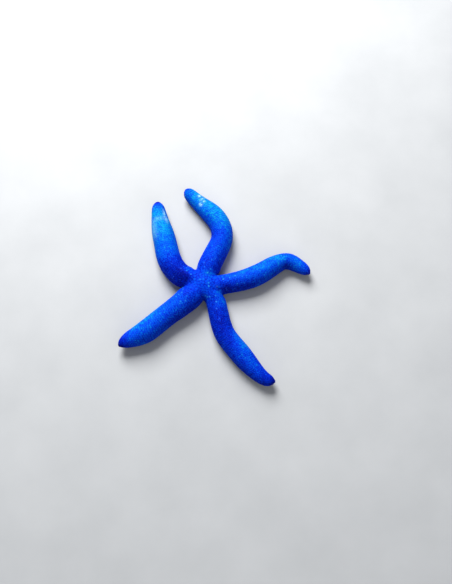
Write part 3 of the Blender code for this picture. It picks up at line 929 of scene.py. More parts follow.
@dataclass
class Skin:
    """The one skin of the disc and the arms, and the masks that its markings follow."""

    cage: BodyCage = field(default_factory=BodyCage)
    layout: PlateLayout = field(default_factory=PlateLayout)
    marks: MarkSizes = field(default_factory=MarkSizes)
    levels: int = 3
    cuts: int = 2
    longest_step: float = 0.0011
    depth: float = 0.00040
    sole_depth: float = 0.00016
    socket_depth: float = 0.00004
    plate_rise: float = 0.00026
    pore_sink: float = 0.00016
    crease_sink: float = 0.00050
    terminal_rise: float = 0.00030
    fold_depth: float = 0.00042
    ridge_rise: float = 0.00010
    rim_rise: float = 0.00012
    sole_flatness: float = 0.6
    crown_share: float = 0.45
    dome_share: float = 0.55
    lowest: float = 0.00008
    least_bead: float = 0.78
    bead_shares: tuple[tuple[str, float], ...] = (
        ("crown", 0.32), ("terminal", 0.3), ("under", 0.15))
    soft_pores: Span = (0.35, 0.75)
    # How much the creases and folds darken the colour: painted shade.
    crease_shade: float = 0.4
    fold_shade: float = 0.9
    map_scale: float = 3.4
    strip_start: float = 0.012
    strip_margin: float = 0.02
    plan_middles: Span = (0.63, 0.87)
    centre: Vector = field(default_factory=lambda: Vector((0.0, 0.0, 0.0)))
    smooth_surface: BVHTree | None = None
    surface: BVHTree | None = None

    def dense_mesh(self) -> Mesh:
        """The smooth body, with the long edges of its faces cut in half as often as asked."""
        guide = add_object("cage", CageBuilder(self.cage).mesh())
        smooth = guide.modifiers.new("Smooth", "SUBSURF")
        smooth.levels = smooth.render_levels = self.levels
        smooth.uv_smooth = "NONE"
        data = evaluated_copy(guide, "sea_star_skin")
        drop_object(guide)
        shape = bmesh.new()
        shape.from_mesh(data)
        place = shape.loops.layers.uv["place"]
        region = shape.faces.layers.int["region"]
        for _ in range(self.cuts):
            long_edges = set()
            for face in shape.faces:
                on_arm = face[region] < len(ARMS)
                for loop in face.loops:
                    step = loop.link_loop_next[place].uv - loop[place].uv
                    along_arm = on_arm and abs(step.y) < 1e-3 and abs(step.x) > self.longest_step
                    if along_arm or (not on_arm and loop.edge.calc_length() > self.longest_step):
                        long_edges.add(loop.edge)
            ordered = [edge for edge in shape.edges if edge in long_edges]
            bmesh.ops.subdivide_edges(shape, edges=ordered, cuts=1, use_grid_fill=True)
        loose_ends = [vert for vert in shape.verts if len(vert.link_edges) == 2]
        bmesh.ops.dissolve_verts(shape, verts=loose_ends)
        shape.to_mesh(data)
        shape.free()
        data.shade_smooth()
        return data

    def strip_place(self, index: int, along: Any, around: Any) -> tuple[Any, Any]:
        """Place on the skin's unwrap of a point some way along and round an arm."""
        left = (index % 2) / 2 + self.strip_margin
        return (left + (along - self.strip_start) * self.map_scale,
                (index // 2) / 3 + 1 / 6 + around * self.map_scale)

    def plan_place(self, region: Region, place: Any) -> tuple[Any, Any]:
        """Place on the skin's unwrap of a point of the disc, from its place on the ground."""
        middle = self.plan_middles[0 if region is Region.TOP else 1]
        return (middle + place[0] * self.map_scale, 5 / 6 + place[1] * self.map_scale)

    def edge_around(self, arm: Arm, distance: float) -> float:
        """Distance round an arm from its top to the middle of its groove."""
        return self.layout.perimeter_share * float(arm.half_width(distance))

    def survey(self, data: Mesh) -> SkinPlan:
        """Reads each point's region and its place on it.

        Args:
            data: The dense mesh, with its region and place layers.

        Returns:
            The plan. A point that regions share belongs to an arm, where one of them is.
        """
        count = len(data.vertices)
        vertex = read_numbers(data.loops, "vertex_index", kind=int)
        region_of, place = corner_facts(data)
        region, along, column = np.full(count, 99), np.zeros(count), np.zeros(count)
        by_region = np.argsort(-region_of, kind="stable")
        region[vertex[by_region]] = region_of[by_region]
        along[vertex[by_region]] = place[by_region, 0]
        column[vertex[by_region]] = place[by_region, 1]
        around = np.zeros(count)
        for index, arm in enumerate(ARMS):
            chosen = region == index
            around[chosen] = self.layout.around(arm, along[chosen], column[chosen])
        on_disc = region >= len(ARMS)
        along[on_disc] = column[on_disc] = 0.0
        return SkinPlan(read_numbers(data.vertices, "co", 3),
                        read_numbers(data.vertex_normals, "vector", 3),
                        region, along, column, around)

    def plate_seeds(self, plan: SkinPlan) -> tuple[np.ndarray, np.ndarray]:
        """Chooses the middle of each plate and of each pore among the skin's points.

        Args:
            plan: The surveyed skin.

        Returns:
            The places of the plates and those of the pores.
        """
        layout = self.layout
        chance = np.random.default_rng(layout.seed)
        plates, pores = [], []
        for index, arm in enumerate(ARMS):
            members = np.flatnonzero(plan.region == index)
            tree = points_tree([(plan.along[point], plan.around[point], 0.0) for point in members])
            edge = layout.plated_share * layout.perimeter_share
            start = plan.along[members].min()
            for row in range(int((arm.length - start) / layout.row_spacing) + 1):
                distance = start + (row + layout.first_row) * layout.row_spacing
                widest = edge * float(arm.half_width(distance)) * arm.squeeze(distance)
                columns = int(widest / layout.column_spacing)
                for column in range(-columns, columns + 1):
                    across = (column + 0.5 * (row % 2)) * layout.column_spacing
                    wander = chance.normal(0.0, layout.jitter, 4)
                    spot = (distance + wander[0], across + wander[1], 0.0)
                    plates.append(plan.places[members[tree.find(spot)[1]]])
                    spot = (distance + layout.row_spacing / 2 + wander[2],
                            across + layout.column_spacing / 4 + wander[3], 0.0)
                    point = members[tree.find(spot)[1]]
                    if (abs(plan.column[point]) < layout.pore_columns
                            and plan.along[point] < layout.pore_end_share * arm.length):
                        pores.append(plan.places[point])
        disc = np.flatnonzero(plan.region >= len(ARMS))
        chance.shuffle(disc)
        pore_spacing = layout.disc_spacing * layout.disc_pore_share
        nearest_plate = (layout.disc_spacing * layout.disc_pore_gap) ** 2
        for spacing, keep in ((layout.disc_spacing, plates), (pore_spacing, pores)):
            taken = np.array(keep)
            for point in disc:
                place = plan.places[point]
                if keep is pores and (plan.normals[point][2] < layout.disc_pore_facing
                                      or ((np.array(plates) - place) ** 2).sum(1).min()
                                      < nearest_plate):
                    continue
                if ((taken - place) ** 2).sum(1).min() > spacing ** 2:
                    keep.append(place)
                    taken = np.vstack((taken, place))
        return np.array(plates), np.array(pores)

    @staticmethod
    def nearest(places: np.ndarray, seeds: np.ndarray, count: int) -> tuple[np.ndarray, np.ndarray]:
        """Measures from each place to its nearest seeds.

        Args:
            places: The places.
            seeds: The seeds' places.
            count: How many of the nearest to measure.

        Returns:
            A row of distances for each place, the nearest first, and its nearest's number.
        """
        tree = points_tree(seeds)
        found = [tree.find_n(place, count) for place in places]
        return (np.array([[seed[2] for seed in row] for row in found]),
                np.array([row[0][1] for row in found]))

    def masks(self, plan: SkinPlan, spots: dict[str, Vector]) -> dict[str, np.ndarray]:
        """Works out every mask that the relief, the coat and the colours follow.

        Args:
            plan: The surveyed skin.
            spots: The places of the eye spots and of the madreporite.

        Returns:
            One array for each mask, by name.
        """
        marks, size = self.marks, len(plan.places)
        plates, pores = self.plate_seeds(plan)
        gaps, plate = self.nearest(plan.places, plates, 2)
        pore_gaps, _ = self.nearest(plan.places, pores, 1)
        tints = np.random.default_rng(self.layout.seed + 1).random(len(plates))[plate]
        up, height = plan.normals[:, 2], plan.places[:, 2]
        under = smooth_step(*marks.under_facing, -up) * smooth_step(*marks.under_height, height)
        groove = smooth_step(*marks.groove_columns, np.abs(plan.column))
        mouth = (plan.region == Region.MOUTH.value).astype(float)
        disc = plan.region == Region.UNDER.value
        for arm in ARMS:
            line = np.array([arm.centreline(step)[0]
                             for step in np.linspace(*marks.groove_reach, 25)])
            away = np.sqrt(((plan.places[disc][:, None, :2] - line[None, :, :2]) ** 2).sum(2))
            groove[disc] = np.maximum(groove[disc], smooth_step(*marks.groove_side, away.min(1)))
        masks = {
            "crown": smooth_step(0.0, marks.valley_width, gaps[:, 1] - gaps[:, 0]),
            "dome": mound(gaps[:, 0], marks.dome_radius),
            "fleck": (mound(gaps[:, 0], marks.fleck_radius)
                      * smooth_step(*marks.fleck_tints, tints)),
            "pore": (bell(pore_gaps[:, 0], marks.pore_radius)
                     * (1.0 - smooth_step(*marks.poreless_facing, -up))),
            "under": np.maximum(under, mouth),
            "sole": smooth_step(*marks.sole_height, height) * smooth_step(*marks.sole_facing, -up),
            "groove": np.maximum(groove, mouth),
        }
        for name in ("bare", "rim", "socket", "terminal", "crease", "fold", "ridge",
                     *(tone.value for tone in Tone)):
            masks[name] = np.zeros(size)
        self.mark_spots(plan, spots, masks)
        self.mark_tones(plan, masks, mound(gaps[:, 0], marks.freckle_radius)
                        * smooth_step(*marks.freckle_tints, tints))
        for index in range(len(ARMS)):
            self.mark_arm(plan, index, masks)
        return masks

    def mark_spots(self, plan: SkinPlan, spots: dict[str, Vector],
                   masks: dict[str, np.ndarray]) -> None:
        """Adds the bare skin, the rim and the socket of each small part to the masks.

        Args:
            plan: The surveyed skin.
            spots: The places of the eye spots and of the madreporite.
            masks: The masks.
        """
        marks = self.marks
        for name, spot in spots.items():
            away = plan.away_from(spot)
            sieve = name == "madreporite"
            radius = marks.sieve_radius if sieve else marks.eye_radius
            near = {"bare": smooth_step(*(radius * share for share in marks.bare_shares), away),
                    "socket": smooth_step(*(radius * share for share in marks.socket_shares),
                                          away)}
            if not sieve:
                above = plan.away_from(spot + UP * marks.terminal_lift)
                near["terminal"] = smooth_step(*marks.terminal_radii, above)
            for mark, mask in near.items():
                masks[mark] = np.maximum(masks[mark], mask)
            masks["rim"] += bell(away - radius * marks.rim_share, marks.rim_width)

    def mark_tones(self, plan: SkinPlan, masks: dict[str, np.ndarray], dot: np.ndarray) -> None:
        """Adds each tone's freckles, and the disc's patches of painted highlight and painted shade,
        to the masks.

        Args:
            plan: The surveyed skin.
            masks: The masks.
            dot: How far each point is in a freckle.
        """
        ground = np.sqrt((plan.places[:, :2] ** 2).sum(1))
        near = smooth_step(*self.marks.freckle_reach, ground)
        for tone, everywhere, inner in self.marks.freckle_tones:
            masks[tone] += dot * (everywhere + inner * near)
        for patch in DISC_HIGHLIGHTS_AND_SHADE:
            masks[patch.tone.value] += patch.mask(plan.places, plan.normals[:, 2])

    def mark_arm(self, plan: SkinPlan, index: int, masks: dict[str, np.ndarray]) -> None:
        """Adds an arm's creases, folds, groove ridges and washes to the masks. The washes are
        partly painted light and shade, and the creases and folds also darken the colour as painted
        shade.

        Args:
            plan: The surveyed skin.
            index: The arm's place in ARMS.
            masks: The masks.
        """
        marks, arm = self.marks, ARMS[index]
        chosen = plan.region == index
        along, column = plan.along[chosen], plan.column[chosen]
        root = along.min()
        bend = arm.bend_at(along) * arm.half_width(along)
        inner = smooth_step(*marks.crease_columns, np.sign(bend) * column)
        masks["crease"][chosen] = (smooth_step(*marks.crease_bends, np.abs(bend)) * inner
                                   * smooth_step(root, root + marks.crease_root, along))
        bow = marks.fold_bow * np.sin(column * marks.fold_bow_waves)
        wave = np.cos(math.tau * along / marks.fold_spacing + bow)
        masks["fold"][chosen] = masks["crease"][chosen] * smooth_step(*marks.fold_waves, wave)
        masks["ridge"][chosen] = np.cos(math.tau * along / marks.ridge_spacing)
        for wash in TONE_LIGHT_AND_SHADE_WASHES:
            if wash.arm == arm.name:
                mask = wash.mask(along / arm.length, column)
                mask = mask * smooth_step(root, root + marks.wash_root, along)
                tone = masks[wash.tone.value]
                tone[chosen] = np.minimum(tone[chosen] + mask, 1.0)

    def displaced(self, plan: SkinPlan, masks: dict[str, np.ndarray]) -> np.ndarray:
        """Where each point of the skin ends up.

        Args:
            plan: The surveyed skin.
            masks: Its masks.

        Returns:
            The new places.
        """
        open_skin = (1.0 - masks["groove"]) * (1.0 - masks["bare"])
        flat = self.sole_flatness * masks["sole"]
        plated = open_skin * (1.0 - flat) * (1.0 - masks["terminal"])
        near = np.maximum(masks["sole"], masks["groove"])
        rise = -self.depth + (self.depth - self.sole_depth) * near
        rise += (self.depth - self.socket_depth) * masks["socket"] * (1.0 - near)
        rise += plated * self.plate_rise * (self.crown_share * masks["crown"]
                                            + self.dome_share * masks["dome"])
        rise -= plated * self.pore_sink * masks["pore"]
        rise -= plated * self.crease_sink * masks["crease"] * (1.0 - masks["crown"])
        rise -= open_skin * self.fold_depth * masks["fold"]
        rise += self.ridge_rise * masks["groove"] * masks["ridge"]
        rise += self.rim_rise * masks["rim"] + self.terminal_rise * masks["terminal"] * open_skin
        moved = plan.places + plan.normals * rise[:, None]
        moved[:, 2] = np.maximum(moved[:, 2], self.lowest)
        return moved

    def lay_map(self, data: Mesh) -> None:
        """Lays the skin's unwrap out in one square: a strip for each arm, and two plans.

        Args:
            data: The mesh, whose place layer gives each corner's place on its region.
        """
        region, place = corner_facts(data)
        layout = np.empty_like(place)
        for index, arm in enumerate(ARMS):
            chosen = region == index
            along, column = place[chosen, 0], place[chosen, 1]
            across = self.layout.around(arm, along, column)
            layout[chosen] = np.stack(self.strip_place(index, along, across), axis=1)
        for part in Region:
            chosen = region == part.value
            layout[chosen] = np.stack(self.plan_place(part, place[chosen].T), axis=1)
        data.uv_layers.remove(data.uv_layers["place"])
        data.uv_layers.new(name="OFBake").data.foreach_set("uv", layout.ravel())

    def build(self, centre: Vector, spots: dict[str, Vector]) -> Object:
        """Builds the skin in its place.

        Args:
            centre: The disc's centre in the frame.
            spots: The places of the eye spots and the madreporite in the frame.

        Returns:
            The skin, with its masks as attributes.
        """
        self.centre = centre
        data = self.dense_mesh()
        plan = self.survey(data)
        masks = self.masks(plan, {name: spot - centre for name, spot in spots.items()})
        moved = self.displaced(plan, masks) + np.array(centre)
        data.transform(Matrix.Translation(centre))
        self.smooth_surface = faces_tree(data)
        data.vertices.foreach_set("co", moved.ravel())
        data.update()
        self.surface = faces_tree(data)
        masks["cover"] = (1.0 - masks["groove"]) * (1.0 - masks["bare"])
        masks["bead"] = np.full(len(plan.places), self.least_bead)
        for name, share in self.bead_shares:
            masks["bead"] += share * masks[name]
        masks["soft"] = (smooth_step(*self.soft_pores, masks["pore"]) * (1.0 - masks["bare"])
                         * (1.0 - masks["terminal"]))
        # The colour darkens in the creases and folds: painted shade.
        masks["crease"] = self.crease_shade * masks["crease"] + self.fold_shade * masks["fold"]
        for name in (*SKIN_FACTS, "cover", "bead", "soft"):
            store_floats(data, name, masks[name])
        self.lay_map(data)
        return add_object("skin", data)


# ---------------- small forms
@dataclass(frozen=True)
class TurnedForm:
    """A small form turned about its own axis, set in many places by a tree.

    The profile runs from the root to the tip, in radius and height. Each point keeps two
    facts: lift, 0 at the root and 1 at the tip, and patch, its place on a round map with the
    root at the rim. The form is open at its root, which is meant to stand in the skin.
    """

    name: str
    profile: tuple[Span, ...]
    sides: int = 6
    patch_share: float = 0.72

    def build(self) -> Object:
        """Builds the form as an object at the origin."""
        shape = bmesh.new()
        rings, facts = [], []
        last = len(self.profile) - 1
        for step, (radius, height) in enumerate(self.profile):
            lift = step / last
            count = 1 if radius == 0.0 else self.sides
            ring = []
            for side in range(count):
                around = direction(math.tau * side / self.sides)
                ring.append(shape.verts.new(around * radius + UP * height))
                out = 0.0 if count == 1 else 1.0 - self.patch_share * lift
                facts.append((lift, around * out))
            rings.append(ring)
        join_rings(shape, rings)
        data = outward_mesh(shape, self.name)
        store_floats(data, "lift", np.array([lift for lift, _ in facts]))
        patch = data.attributes.new("patch", "FLOAT_VECTOR", "POINT")
        patch.data.foreach_set("vector", np.array([place for _, place in facts]).ravel())
        return add_object(self.name, data)


GRANULE = TurnedForm("granule_form", ((0.00036, -0.00010), (0.00031, 0.00006), (0.0, 0.00014)))
PAPULA = TurnedForm("papula_form", ((0.00014, -0.0001), (0.00012, 0.00015), (0.0, 0.00026)))
TUBE_FOOT = TurnedForm("tube_foot_form", ((0.00046, 0.00020), (0.00034, -0.00040),
                                          (0.00030, -0.00150), (0.00031, -0.00205),
                                          (0.00050, -0.00222), (0.00052, -0.00238),
                                          (0.00030, -0.00240), (0.0, -0.00232)), 8)
SPINE = TurnedForm("spine_form", ((0.00022, -0.00015), (0.00021, 0.00040), (0.00019, 0.00090),
                                  (0.00011, 0.00114), (0.0, 0.00118)))


# ---------------- trees that set them
FLOOR_GAP = 0.00004
FLOOR_SPREAD = 0.00003
PATCH_RADIUS = 0.0013


def build_settle_group() -> NodeTree:
    """The last steps of both trees: realize, give each form its patch of the map, keep it
    above the floor, and dress it.

    Each form has a lowest level of its own, a hair above or below the others', so that they
    aren't all pressed into one plane.

    Returns:
        The group.
    """
    graph, take, result = new_group(
        "settle_forms", "GeometryNodeTree",
        {"Instances": (GEOMETRY, None), "Material": (MATERIAL, None)}, {"Geometry": GEOMETRY})
    flow = graph.flow("RealizeInstances", take["Instances"])
    wide = graph.node("ShaderNodeVectorMath", {0: graph.stored("patch", "FLOAT_VECTOR"),
                                               "Scale": PATCH_RADIUS}, operation="SCALE")
    place = graph.node("ShaderNodeVectorMath", {0: graph.stored("root", "FLOAT_VECTOR"),
                                                1: wide.outputs["Vector"]}, operation="ADD")
    flow = graph.flow("RemoveAttribute", flow, {"Name": "OFBake"})
    flow = graph.flow("StoreNamedAttribute", flow,
                      {"Name": "OFBake", "Value": place.outputs["Vector"]},
                      data_type="FLOAT2", domain="CORNER")
    for name in ("root", "patch", "bead", "cover", "soft", "region", "lean"):
        flow = graph.flow("RemoveAttribute", flow, {"Name": name})
    position = graph.node("GeometryNodeInputPosition").outputs["Position"]
    parts = graph.node("ShaderNodeSeparateXYZ", {0: position}).outputs
    level = graph.math("MULTIPLY_ADD", graph.stored("speck"), FLOOR_SPREAD, FLOOR_GAP)
    kept = graph.node("ShaderNodeCombineXYZ", {"X": parts["X"], "Y": parts["Y"],
                                               "Z": graph.math("MAXIMUM", parts["Z"], level)})
    flow = graph.flow("SetPosition", flow, {"Position": kept.outputs["Vector"]})
    flow = graph.flow("SetShadeSmooth", flow)
    flow = graph.flow("SetMaterial", flow, {"Material": take["Material"]})
    graph.feed(result, {"Geometry": flow})
    return graph.tree


class Scatter(Enum):
    """How a tree finds the places of its forms."""

    SURFACE = "spread evenly over a surface"
    ROWS = "set along lines"


@dataclass
class FormTree:
    """A tree that sets one small form in many places, over a surface or along lines."""

    scatter: Scatter
    settle: NodeTree
    seed_steps: tuple[int, ...] = (11, 23, 37, 51)

    def build(self) -> NodeTree:
        """Builds the tree with its named inputs."""
        surface = self.scatter is Scatter.SURFACE
        inputs = {"Geometry": (GEOMETRY, None), "Form": (OBJECT, None),
                  "Spacing": (FLOAT, 0.001), "Size": (FLOAT, 1.0), "Vary": (FLOAT, 0.2),
                  "Lean": (FLOAT, 0.1), "Seed": (INT, 1), "Material": (MATERIAL, None)}
        if surface:
            inputs.update({"Region": (INT, -1), "Mask": (STRING, "cover"),
                           "Density": (FLOAT, 6.0e6)})
        graph, take, result = new_group("forms_" + self.scatter.name.lower(),
                                        "GeometryNodeTree", inputs, {"Geometry": GEOMETRY})
        find_points = self.surface_points if surface else self.row_points
        points, turn = find_points(graph, take)
        grow_seed, spin_seed, *tilt_seeds = (graph.math("ADD", take["Seed"], step)
                                             for step in self.seed_steps)
        grown = graph.chance(graph.math("SUBTRACT", 1.0, take["Vary"]),
                             graph.math("ADD", 1.0, take["Vary"]), grow_seed)
        size = graph.math("MULTIPLY", graph.math("MULTIPLY", take["Size"], grown),
                          graph.stored("bead"))
        tilts = [graph.math("MULTIPLY", graph.chance(-1.0, 1.0, seed), take["Lean"])
                 for seed in tilt_seeds]
        twist = graph.node("ShaderNodeCombineXYZ", {
            "X": tilts[0], "Y": tilts[1], "Z": graph.chance(0.0, math.tau, spin_seed)})
        by = graph.node("FunctionNodeEulerToRotation", {"Euler": twist.outputs["Vector"]})
        turned = graph.node("FunctionNodeRotateRotation",
                            {"Rotation": turn, "Rotate By": by.outputs["Rotation"]},
                            rotation_space="LOCAL")
        marked = graph.flow("StoreNamedAttribute", points,
                            {"Name": "speck", "Value": graph.chance(0.0, 1.0, take["Seed"])},
                            data_type="FLOAT", domain="POINT")
        form = graph.node("GeometryNodeObjectInfo", {"Object": take["Form"], "As Instance": True})
        placed = graph.node("GeometryNodeInstanceOnPoints",
                            {"Points": marked, "Instance": form.outputs["Geometry"],
                             "Rotation": turned.outputs["Rotation"], "Scale": size})
        settled = graph.node("GeometryNodeGroup",
                             {"Instances": placed.outputs["Instances"],
                              "Material": take["Material"]}, node_tree=self.settle)
        graph.feed(result, {"Geometry": settled.outputs["Geometry"]})
        return graph.tree

    @staticmethod
    def surface_points(graph: Graph, take: Any) -> tuple[Any, Any]:
        """Points spread over one region of a surface, as densely as a mask says.

        Args:
            graph: The tree's graph.
            take: The tree's inputs.

        Returns:
            The points and their rotations.
        """
        other = graph.node("FunctionNodeCompare", {2: graph.stored("region", "INT"),
                                                   3: take["Region"]},
                           data_type="INT", operation="NOT_EQUAL")
        asked = graph.node("FunctionNodeCompare", {2: take["Region"], 3: 0},
                           data_type="INT", operation="GREATER_EQUAL")
        drop = graph.node("FunctionNodeBooleanMath", {0: other.outputs["Result"],
                                                      1: asked.outputs["Result"]},
                          operation="AND")
        ground = graph.flow("DeleteGeometry", take["Geometry"],
                            {"Selection": drop.outputs[0]}, domain="FACE")
        spread = graph.node("GeometryNodeDistributePointsOnFaces",
                            {"Mesh": ground, "Distance Min": take["Spacing"],
                             "Density Max": take["Density"],
                             "Density Factor": graph.stored(take["Mask"]),
                             "Seed": take["Seed"]}, distribute_method="POISSON")
        rooted = graph.flow("StoreNamedAttribute", spread.outputs["Points"],
                            {"Name": "root", "Value": graph.stored("OFBake", "FLOAT_VECTOR")},
                            data_type="FLOAT_VECTOR", domain="POINT")
        return rooted, spread.outputs["Rotation"]

    @staticmethod
    def row_points(graph: Graph, take: Any) -> tuple[Any, Any]:
        """Points at even steps along lines, each form's tip along the line's lean.

        Args:
            graph: The tree's graph.
            take: The tree's inputs.

        Returns:
            The points and their rotations.
        """
        curve = graph.node("GeometryNodeMeshToCurve", {"Mesh": take["Geometry"]})
        even = graph.node("GeometryNodeResampleCurve", {"Curve": curve.outputs["Curve"],
                                                        "Length": take["Spacing"]},
                          mode="LENGTH")
        points = graph.node("GeometryNodeCurveToPoints", {"Curve": even.outputs["Curve"]},
                            mode="EVALUATED")
        turn = graph.node("FunctionNodeAlignRotationToVector",
                          {"Vector": graph.stored("lean", "FLOAT_VECTOR")}, axis="Z")
        return points.outputs["Points"], turn.outputs["Rotation"]


def grow(name: str, slot: str, tree: NodeTree, ground: Mesh, values: dict[str, Any]) -> None:
    """Runs a tree on a mesh and finishes its result as a plain piece with no modifier.

    Args:
        name: The piece's name.
        slot: A name that is handed on to finish_piece.
        tree: The tree.
        ground: The mesh that it starts from.
        values: The tree's inputs, by name.
    """
    guide = add_object(name + "_ground", ground)
    modifier = guide.modifiers.new("Forms", "NODES")
    modifier.node_group = tree
    for socket in tree.interface.items_tree:
        if socket.item_type == "SOCKET" and socket.in_out == "INPUT" and socket.name in values:
            modifier[socket.identifier] = values[socket.name]
    data = evaluated_copy(guide, name)
    drop_object(guide)
    data.materials.clear()
    data.materials.append(values["Material"])
    data.polygons.foreach_set("material_index", np.zeros(len(data.polygons), dtype=np.int32))
    finish_piece(add_object(name, data), slot)


# ---------------- the coat
@dataclass
class Coat:
    """The granules over the skin, and the soft papulae that stand in its pores."""

    tree: NodeTree
    granule: Material
    papula: Material
    spacing: float = 0.00064
    papula_spacing: float = 0.00042
    density: float = 7.0e6
    papula_density: float = 2.6e6

    def build(self, skin: Object) -> None:
        """Grows the coat, one piece for each arm, two for the disc and one of papulae.

        Args:
            skin: The skin, with its masks.
        """
        form = GRANULE.build()
        names = [*("arm_" + name for name in ARM_NAMES), "disc_top", "disc_under"]
        for region, name in enumerate(names):
            grow("granules_" + name, "arm_skin" if region < len(ARMS) else "disc_skin",
                 self.tree, skin.data,
                 {"Form": form, "Spacing": self.spacing, "Density": self.density,
                  "Region": region, "Seed": 100 + region, "Vary": 0.16, "Lean": 0.12,
                  "Material": self.granule})
        drop_object(form)
        form = PAPULA.build()
        grow("papulae", "arm_skin", self.tree, skin.data,
             {"Form": form, "Spacing": self.papula_spacing, "Density": self.papula_density,
              "Mask": "soft", "Seed": 7, "Vary": 0.3, "Lean": 0.35, "Material": self.papula})
        drop_object(form)


# ---------------- the underside
@dataclass
class SkinLines:
    """Lines of points on the skin's underside, with the facts that the tree of rows reads.

    Each point keeps its root on the map, the way that its form leans, and its form's size.
    """

    surface: BVHTree
    centre: Vector
    points: list[Vector] = field(default_factory=list)
    edges: list[tuple[int, int]] = field(default_factory=list)
    facts: list[tuple[Any, Vector, float]] = field(default_factory=list)

    def above(self, on_ground: Vector, highest: float) -> Vector | None:
        """The skin straight above a place, if there is any up to some height."""
        found = self.surface.ray_cast(on_ground + self.centre, UP)[0]
        return None if found is None or found.z > highest else found

    def add(self, point: Vector, root: Any, lean: Vector, size: float, joined: bool) -> None:
        """Adds a point, joined to the last one or the first of a new line."""
        if joined:
            self.edges.append((len(self.points) - 1, len(self.points)))
        self.points.append(point)
        self.facts.append((tuple(root), lean, size))

    def mesh(self, name: str) -> Mesh:
        """The lines as a mesh."""
        data = bpy.data.meshes.new(name)
        data.from_pydata([tuple(point) for point in self.points], self.edges, [])
        roots, leans, sizes = zip(*self.facts)
        for fact, values in (("root", [(*root[:2], 0.0) for root in roots]), ("lean", leans)):
            layer = data.attributes.new(fact, "FLOAT_VECTOR", "POINT")
            layer.data.foreach_set("vector", np.array(values).ravel())
        store_floats(data, "bead", np.array(sizes))
        return data


@dataclass(frozen=True)
class SpineRow:
    """A row of spines along a groove: its place, their spacing, their lean and their size."""

    offset: float
    spacing: float
    inward: float
    size: float


@dataclass
class Grooves:
    """The tube feet and spines below each arm, and the spines on the five jaws."""

    tree: NodeTree
    foot: Material
    spine: Material
    skin: Skin
    foot_offset: float = 0.00088
    foot_spacing: float = 0.0019
    foot_length: float = 0.0024
    foot_reach: float = 0.98
    foot_splay: float = 0.12
    spine_rows: tuple[SpineRow, ...] = (SpineRow(0.00235, 0.00078, 0.9, 0.9),
                                        SpineRow(0.00330, 0.00098, 0.3, 0.7))
    spine_length: float = 0.0012
    least_spine: float = 0.3
    start: float = 0.0062
    end_share: float = 0.93
    step: float = 0.0008
    past_notch: float = 0.001
    highest: float = 0.0040
    narrowing: float = 0.35
    narrow_shares: Span = (0.6, 0.95)
    # Radius, spread in degrees to each side, and size of the spines.
    jaw_rows: tuple[tuple[float, int, float], ...] = (
        (0.0044, 17, 1.25), (0.0058, 15, 1.0), (0.0072, 11, 0.8))
    jaw_step: int = 3
    jaw_highest: float = 0.002
    jaw_spacing: float = 0.0008
    jaw_droop: float = 0.35

    def lines(self, surface: BVHTree, offset: float, inward: float | None) -> Mesh:
        """Lines along both sides of every groove, on the skin.

        Args:
            surface: A tree of the skin's faces, which finds the skin above a place.
            offset: Distance to the side of the groove's middle.
            inward: How far spines lean over the groove, or None for feet, which hang from
                the skin to the floor.

        Returns:
            A mesh of lines with the facts that the tree reads.
        """
        lines = SkinLines(surface, self.skin.centre)
        for index, arm in enumerate(ARMS):
            root = self.skin.cage.stations(index)[0][0] + self.past_notch
            for side in (1, -1):
                was_on_arm = None
                for distance in np.arange(self.start, arm.length * self.end_share, self.step):
                    place, heading = arm.centreline(distance)
                    across = direction(heading + math.pi / 2) * side
                    shrink = smooth_step(*self.narrow_shares, distance / arm.length)
                    narrow = 1.0 - self.narrowing * float(shrink)
                    on_ground = place + across * offset * narrow
                    point = lines.above(on_ground, self.highest)
                    if point is None:
                        was_on_arm = None
                        continue
                    on_arm = distance > root
                    if on_arm:
                        around = side * (self.skin.edge_around(arm, distance) - offset)
                        patch = self.skin.strip_place(index, distance, around)
                    else:
                        patch = self.skin.plan_place(Region.UNDER, on_ground)
                    if inward is None:
                        lean = UP + across * self.foot_splay
                        size = point.z / self.foot_length * self.foot_reach
                    else:
                        lean = (across * -inward - UP).normalized()
                        size = float(np.clip(point.z / self.spine_length, self.least_spine, 1.0))
                    lines.add(point, patch, lean, size, was_on_arm == on_arm)
                    was_on_arm = on_arm
        return lines.mesh("groove_lines")

    def jaw_lines(self, surface: BVHTree) -> Mesh:
        """Short arcs across the points of the jaws, round the mouth."""
        lines = SkinLines(surface, self.skin.centre)
        for arm in ARMS:
            for radius, spread, size in self.jaw_rows:
                joined = False
                for bearing in range(-spread, spread + 1, self.jaw_step):
                    on_ground = polar(radius, arm.notch_bearing + bearing)
                    point = lines.above(on_ground, self.jaw_highest)
                    if point is None:
                        continue
                    lines.add(point, self.skin.plan_place(Region.UNDER, on_ground),
                              -on_ground.normalized() - UP * self.jaw_droop, size, joined)
                    joined = True
        return lines.mesh("jaw_lines")

    def build(self, surface: BVHTree) -> None:
        """Grows the feet and the spines on the skin.

        Args:
            surface: A tree of the skin's faces.
        """
        form = TUBE_FOOT.build()
        grow("tube_feet", "arm_skin", self.tree, self.lines(surface, self.foot_offset, None),
             {"Form": form, "Spacing": self.foot_spacing, "Vary": 0.0, "Lean": 0.10,
              "Seed": 3, "Material": self.foot})
        drop_object(form)
        form = SPINE.build()
        for number, row in enumerate(self.spine_rows, start=1):
            grow(f"groove_spines_{number}", "arm_skin", self.tree,
                 self.lines(surface, row.offset, row.inward),
                 {"Form": form, "Spacing": row.spacing, "Size": row.size, "Vary": 0.15,
                  "Lean": 0.18, "Seed": 40 + number, "Material": self.spine})
        grow("mouth_spines", "disc_skin", self.tree, self.jaw_lines(surface),
             {"Form": form, "Spacing": self.jaw_spacing, "Vary": 0.15, "Lean": 0.15,
              "Seed": 60, "Material": self.spine})
        drop_object(form)


